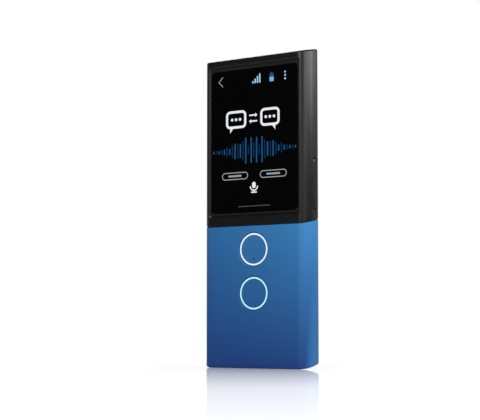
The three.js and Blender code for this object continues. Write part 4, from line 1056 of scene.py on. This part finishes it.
def camera_lens():
    """Lens barrel with a bowl in its end, and the coated lens in the bowl."""
    end = WINDOW_INSIDE - RUNNING_GAP
    start = end - CAMERA_BARREL_LENGTH
    floor = end - LENS_BOWL
    shares = even_shares(FILLET_STEPS)
    barrel = turned("barrel", [
        (0, start),
        (CAMERA_BARREL / 2, start),
        (CAMERA_BARREL / 2, end),
        *[(LENS_MOUTH - LENS_BOWL * share, end - LENS_BOWL * share) for share in shares],
        (0, floor),
    ], *CAMERA_AXIS)
    dress(barrel, "lens_black", "casing", "camera_lens")
    radius = LENS_MOUTH - LENS_BOWL
    bulge = [(radius * share, end - LENS_BOWL * (share ** 2) - LENS_BULGE * (1 - share ** 2))
             for share in shares]
    lens = turned("lens_front", [*bulge, (0, floor)], *CAMERA_AXIS)
    dress(lens, "lens_coat", "casing", None)


def flash_parts():
    """Bright bezel with a beaded lip, and the ridged window deep in it."""
    outer = FLASH_OPENING / 2 - GLASS_GAP
    inner = outer - FLASH_BEZEL_WALL
    mouth = BACK - FLASH_SINK
    root = mouth - FLASH_BEZEL_LENGTH
    floor = mouth - FLASH_BEZEL_FLARE
    bead = FLASH_BEZEL_LIP / 2
    turns = [share * math.pi for share in even_shares(FILLET_STEPS)]
    lip = [(outer - bead + bead * math.cos(turn), mouth - bead + bead * math.sin(turn))
           for turn in turns]
    bezel = turned("bezel", [(inner, root), (outer, root), *lip, (inner, floor)], *FLASH_AXIS, loop=True)
    dress(bezel, "bright_metal", "casing", "flash_bezel")
    radius = inner - SEAT_GAP
    ridges = []
    for ridge in range(FLASH_RIDGES, 0, -1):
        ridges.append((radius * ridge / FLASH_RIDGES, floor))
        ridges.append((radius * (ridge - 1) / FLASH_RIDGES, floor - FLASH_RIDGE_DEPTH))
    window = turned("flash_lens", [(0, floor - FLASH_WINDOW), (radius, floor - FLASH_WINDOW), *ridges],
                    *FLASH_AXIS)
    dress(window, "clear_plastic", "casing", "flash_window")


# Charging port

def port_rings(points, low, high):
    return [[(x, y, level) for x, y in points] for level in (low, high)]


def port_outline(inset):
    return slot_around(0, PORT_DEPTH, PORT_WIDTH - inset * 2, PORT_THICKNESS - inset * 2)


def port_shell():
    """Drawn steel shell with a rounded mouth."""
    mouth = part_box("usb_c_shell")[0].z
    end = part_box("usb_c_shell")[1].z
    shell = skinned("port_shell", port_rings(port_outline(0), mouth, end))
    bore = skinned("bore", [
        *port_rings(port_outline(PORT_SHEET - PORT_LIP), mouth - OVERRUN, mouth),
        *port_rings(port_outline(PORT_SHEET), mouth + PORT_LIP, end + OVERRUN),
    ])
    combine(shell, "DIFFERENCE", [bore])
    smooth(shell)
    dress(shell, "steel", "casing", "usb_c_shell")


def port_tongue():
    """Blade on a base that fills the shell's inner end."""
    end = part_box("usb_c_shell")[1].z
    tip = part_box("usb_c_tongue")[0].z
    base = skinned("tongue_base", port_rings(port_outline(PORT_SHEET + SEAT_GAP), end - TONGUE_BASE, end))
    blade_outline = rounded_box(
        *centred(0, TONGUE_WIDTH), *centred(PORT_DEPTH, TONGUE_THICKNESS), TONGUE_ROUND)
    blade = skinned("blade", port_rings(blade_outline, tip, end - TONGUE_BASE / 2))
    combine(base, "UNION", [blade])
    smooth(base)
    dress(base, "dark_part", "casing", "usb_c_tongue")


def port_contacts():
    """Gold strips on both faces of the blade."""
    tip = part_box("usb_c_tongue")[0].z
    strips = []
    pitch = (TONGUE_WIDTH - CONTACT_WIDTH * 2) / CONTACTS
    blade_front, blade_back = centred(PORT_DEPTH, TONGUE_THICKNESS)
    for faces in ((blade_front - CONTACT_PROUD, blade_front), (blade_back, blade_back + CONTACT_PROUD)):
        for place in range(CONTACTS):
            middle = (place - (CONTACTS - 1) / 2) * pitch
            strips.append(block_rings(*centred(middle, CONTACT_WIDTH), *faces,
                                      tip + CONTACT_WIDTH, tip + CONTACT_WIDTH + CONTACT_LENGTH))
    dress(skinned("contacts", *strips), "contact_gold", "casing", None)


# Screen and its picture

def cover_glass():
    face = RECESS_LEAN + GLASS_GAP
    piece = skinned("cover_glass", facing_front([
        (screen_outline(face + GLASS_BEVEL), GLASS_FRONT),
        (screen_outline(face), GLASS_FRONT + GLASS_BEVEL),
        (screen_outline(face), GLASS_BACK),
    ]))
    smooth(piece, GLASS_SHARP_FROM)
    dress(piece, "border_black", "casing", "display_glass")


def flat_rings(points, layer):
    """Thin plate on the cover glass, in one of the picture's layers."""
    front = GLASS_FRONT - PICTURE_LIFT * layer
    return facing_front([(points, front), (points, front + PICTURE_LIFT / 2)])


def picture_piece(name, finish, shapes, layer=SIGN_LAYER):
    piece = skinned(name, *[flat_rings(points, layer) for points in shapes])
    dress(piece, finish, "casing", None)


def stroke(points, width):
    """Outline of a line of some width through points, with mitred joints."""
    edges = ([], [])
    for index, (x, z) in enumerate(points):
        ahead = Vector(points[min(index + 1, len(points) - 1)])
        behind = Vector(points[max(index - 1, 0)])
        here = Vector((x, z))
        before = here - behind if index else ahead - here
        after = ahead - here if index < len(points) - 1 else before
        first = Vector((-before.y, before.x)).normalized()
        second = Vector((-after.y, after.x)).normalized()
        middle = (first + second).normalized()
        reach = width / 2 / middle.dot(first)
        for edge, side in zip(edges, (RIGHT, LEFT)):
            edge.append((x + middle.x * reach * side, z + middle.y * reach * side))
    return edges[0] + edges[1][::-1]


def disc(x, z, radius):
    turns = [2 * math.pi * step / HOLE_SIDES for step in range(HOLE_SIDES)]
    return [(x + radius * math.cos(turn), z + radius * math.sin(turn)) for turn in turns]


def bar_box(left, right, low, high, radius):
    return rounded_box(left, right, low, high, radius, EDGE_STEPS)


def status_icons():
    """Back arrow, signal bars, battery and menu dots along the top of the picture."""
    bars = []
    for place in range(SIGNAL_BARS):
        left = SIGNAL_LEFT + place * SIGNAL_PITCH
        high = STATUS_LOW + SIGNAL_FIRST + place * SIGNAL_STEP
        bars.append(bar_box(left, left + SIGNAL_BAR, STATUS_LOW, high, SIGNAL_ROUND))
    dots = [disc(DOT_PLACE, DOT_LOW + place * DOT_PITCH, DOT_RADIUS) for place in range(MENU_DOTS)]
    picture_piece("signal_and_menu", "icon_blue", [*bars, *dots])
    left, right = BATTERY_SIDES
    high = STATUS_LOW + BATTERY_HEIGHT
    inset, cap = BATTERY_CAP
    picture_piece("battery_outline", "icon_dim_blue", [
        bar_box(left, right, STATUS_LOW, high, BATTERY_ROUND),
        bar_box(left + inset, right - inset, high, high + cap, BATTERY_ROUND)])
    picture_piece("battery_charge", "icon_sky", [
        bar_box(left, right, STATUS_LOW, STATUS_LOW + BATTERY_FILL, BATTERY_ROUND)], INSIDE_LAYER)
    x, z = ARROW_TIP
    picture_piece("back_arrow", "arrow_grey", [stroke(
        [(x + ARROW_REACH, z + ARROW_REACH), (x, z), (x + ARROW_REACH, z - ARROW_REACH)], ARROW_LINE)])


def speech_bubbles():
    """A pair of speech bubbles with arrows between them."""
    outer = []
    inner = []
    for side, (left, right) in zip((RIGHT, LEFT), BUBBLE_SIDES):
        outer.append(rounded_box(left, right, BUBBLE_LOW, BUBBLE_HIGH, BUBBLE_ROUND))
        inner.append(rounded_box(left + BUBBLE_LINE, right - BUBBLE_LINE, BUBBLE_LOW + BUBBLE_LINE,
                                 BUBBLE_HIGH - BUBBLE_LINE, BUBBLE_ROUND - BUBBLE_LINE))
        root = (left if side == RIGHT else right) + side * BUBBLE_ROUND
        outer.append([(root, BUBBLE_LOW + BUBBLE_LINE / 2), (root, BUBBLE_LOW - BUBBLE_TAIL),
                      (root + side * BUBBLE_TAIL, BUBBLE_LOW + BUBBLE_LINE / 2)])
    picture_piece("bubbles", "icon_white", outer)
    picture_piece("bubble_insides", "picture_black", inner, INSIDE_LAYER)
    middle = (BUBBLE_SIDES[0][1] + BUBBLE_SIDES[1][0]) / 2
    height = (BUBBLE_LOW + BUBBLE_HIGH) / 2
    talk = []
    for left, right in BUBBLE_SIDES:
        centre = (left + right) / 2
        for place in (LEFT, 0, RIGHT):
            talk.append(disc(centre + place * SWAP_REACH, height, SWAP_LINE))
    for side in (RIGHT, LEFT):
        level = height + side * SWAP_SPREAD
        tip = middle + side * SWAP_REACH
        talk.append(bar_box(*sorted((middle - side * SWAP_REACH, tip - side * SWAP_HEAD)),
                            *centred(level, SWAP_LINE), SWAP_ROUND))
        talk.append([(tip - side * SWAP_HEAD, level - SWAP_HEAD), (tip, level),
                     (tip - side * SWAP_HEAD, level + SWAP_HEAD)])
    picture_piece("talk_signs", "icon_white", talk, MARK_LAYER)


def voice_bars():
    """Row of voice-level bars, tall in the middle, in two blues."""
    shapes = ([], [])
    for place in range(VOICE_BARS):
        across = place - (VOICE_BARS - 1) / 2
        share = math.cos(across / VOICE_BARS * math.pi) ** 2
        quick = abs(math.sin(across * VOICE_QUICK)) * VOICE_QUICK_SHARE
        slow = abs(math.cos(across * VOICE_SLOW)) * VOICE_SLOW_SHARE
        half = VOICE_LEAST + (VOICE_MOST - VOICE_LEAST) * share * (quick + slow)
        x = across * VOICE_PITCH
        shapes[place % 2].append(slot_around(x, VOICE_MIDDLE, VOICE_BAR, half * 2, EDGE_STEPS))
    picture_piece("voice_bars", "voice_blue", shapes[0])
    picture_piece("voice_bars_deep", "voice_deep", shapes[1])


def language_pills():
    """Two outlined pills with a line in each, and the hint line below."""
    low, high = centred(PILL_MIDDLE, PILL_HEIGHT)
    outer = []
    inner = []
    lines = []
    for left, right in PILL_SIDES:
        outer.append(rounded_box(left, right, low, high, PILL_HEIGHT / 2))
        inner.append(rounded_box(left + PILL_LINE, right - PILL_LINE, low + PILL_LINE, high - PILL_LINE,
                                 PILL_HEIGHT / 2 - PILL_LINE))
        lines.append(slot_around((left + right) / 2, PILL_MIDDLE, *PILL_TEXT, EDGE_STEPS))
    picture_piece("pills", "icon_grey", outer)
    picture_piece("pill_insides", "picture_black", inner, INSIDE_LAYER)
    picture_piece("pill_lines", "icon_grey", lines, MARK_LAYER)
    picture_piece("hint_line", "icon_faint", [slot_around(0, HINT_MIDDLE, *HINT_SIZE, EDGE_STEPS)])


def microphone_sign():
    """Capsule in a cradle on a short stand."""
    high = SIGN_LOW + SIGN_HEIGHT
    capsule_low = SIGN_LOW + SIGN_HEIGHT * SIGN_CAPSULE_SHARE
    turns = [math.pi + share * math.pi for share in even_shares(CORNER_STEPS)]
    cradle = [(SIGN_WIDTH * math.cos(turn), capsule_low + SIGN_WIDTH / 2 + SIGN_WIDTH * math.sin(turn))
              for turn in turns]
    foot = SIGN_LOW + SIGN_LINE
    foot_reach = SIGN_WIDTH * SIGN_FOOT_SHARE
    picture_piece("microphone_sign", "icon_white", [
        bar_box(*centred(0, SIGN_WIDTH), capsule_low, high, SIGN_WIDTH / 2),
        stroke(cradle, SIGN_LINE),
        bar_box(*centred(0, SIGN_LINE), foot, capsule_low - SIGN_WIDTH / 2, 0),
        bar_box(-foot_reach, foot_reach, SIGN_LOW, foot, SIGN_ROUND)])


def picture():
    """The lit picture, in layers on the cover glass: a generic voice screen."""
    picture_piece("picture_ground", "picture_black", [rounded_box(
        -ACTIVE_SIDE, ACTIVE_SIDE, ACTIVE_LOW, ACTIVE_HIGH, ACTIVE_CORNER)], GROUND_LAYER)
    status_icons()
    speech_bubbles()
    voice_bars()
    language_pills()
    microphone_sign()


# Stage

def make_camera():
    data = bpy.data.cameras.new("camera")
    data.lens = CAMERA_LENS
    data.sensor_width = CAMERA_SENSOR
    data.shift_y = CAMERA_SHIFT
    data.clip_start, data.clip_end = CAMERA_CLIP
    made = bpy.data.objects.new("camera", data)
    made.location = CAMERA_PLACE
    made.rotation_euler = (QUARTER + CAMERA_PITCH, 0, -CAMERA_YAW)
    bpy.context.scene.collection.objects.link(made)
    bpy.context.scene.camera = made


def softbox(name, place, target, size, power):
    data = bpy.data.lights.new(name, "AREA")
    data.shape = "RECTANGLE"
    data.size, data.size_y = size
    data.energy = power
    made = bpy.data.objects.new(name, data)
    made.location = place
    made.rotation_euler = (Vector(target) - Vector(place)).to_track_quat("-Z", "Y").to_euler()
    bpy.context.scene.collection.objects.link(made)


def make_world():
    """White to the camera; to the object a studio, bright behind its left and dim before it."""
    world = bpy.data.worlds.new("studio")
    bpy.context.scene.world = world
    world.use_nodes = True
    tree = world.node_tree
    way = place_in(tree, "Generated")
    facing = add_node(tree, "ShaderNodeVectorMath", {0: way, 1: LIGHT_WAY}, operation="DOT_PRODUCT")
    glow = calculated(tree, "MULTIPLY", ranged(tree, facing["Value"], *STUDIO_GLOW),
                      ranged(tree, axes_of(tree, way)["Z"], *STUDIO_FADE))
    seen = add_node(tree, "ShaderNodeLightPath", {})["Is Camera Ray"]
    fill(tree.nodes["Background"], {
        "Strength": calculated(tree, "MAXIMUM", glow, seen), "Color": (*WHITE, 1)})


def floor_finish():
    """Matt finish that looks white further out, under a gloss that fades on the way there."""
    made, tree, shader = new_finish("floor", FLOOR_COLOURS[0], FLOOR_MATT, specular=0)
    length = add_node(tree, "ShaderNodeVectorMath", {0: place_in(tree)}, operation="LENGTH")["Value"]
    seen = add_node(tree, "ShaderNodeLightPath", {})["Is Camera Ray"]
    fill(shader, {
        "Base Color": between(tree, noise(tree, FLOOR_SCALE), *FLOOR_COLOURS),
        "Emission Color": (*WHITE, 1),
        "Emission Strength": calculated(tree, "MULTIPLY", ranged(tree, length, *FLOOR_LIFT), seen),
    })
    gloss = add_node(tree, "ShaderNodeBsdfGlossy", {"Color": (*WHITE, 1), "Roughness": FLOOR_POLISH})
    glance = add_node(tree, "ShaderNodeFresnel", {})["Fac"]
    share = calculated(tree, "MULTIPLY", glance, ranged(tree, length, *FLOOR_GLOSS))
    sockets = {"Fac": share, 1: shader.outputs["BSDF"], 2: gloss["BSDF"]}
    surface = add_node(tree, "ShaderNodeMixShader", sockets)["Shader"]
    fill(tree.nodes["Material Output"], {"Surface": surface})
    return made


def make_floor():
    sides = centred(0, FLOOR_REACH)
    floor = block("floor", *sides, *sides, -FLOOR_THICKNESS, 0)
    floor.data.materials.append(floor_finish())


def make_stage():
    bpy.context.scene.view_settings.view_transform = "Standard"
    make_camera()
    make_world()
    make_floor()
    for name, values in SOFTBOXES.items():
        softbox(name, *values)


make_stage()
dress_frame()
upper_housing()
lower_housing()
button("upper_button", UPPER_BUTTON_HEIGHT)
button("lower_button", LOWER_BUTTON_HEIGHT)
light_ring("upper_button", "upper_light_ring", UPPER_BUTTON_HEIGHT, "upper_glow")
light_ring("lower_button", "lower_light_ring", LOWER_BUTTON_HEIGHT, "lower_glow")
side_key("volume_rocker", ROCKER_HEIGHT, ROCKER_LENGTH, centred(0, KEY_NUB_SPREAD), RIGHT)
side_key("power_button", POWER_HEIGHT, POWER_LENGTH, (0,), LEFT)
sim_tray()
camera_window()
camera_lens()
flash_parts()
port_shell()
port_tongue()
port_contacts()
cover_glass()
picture()
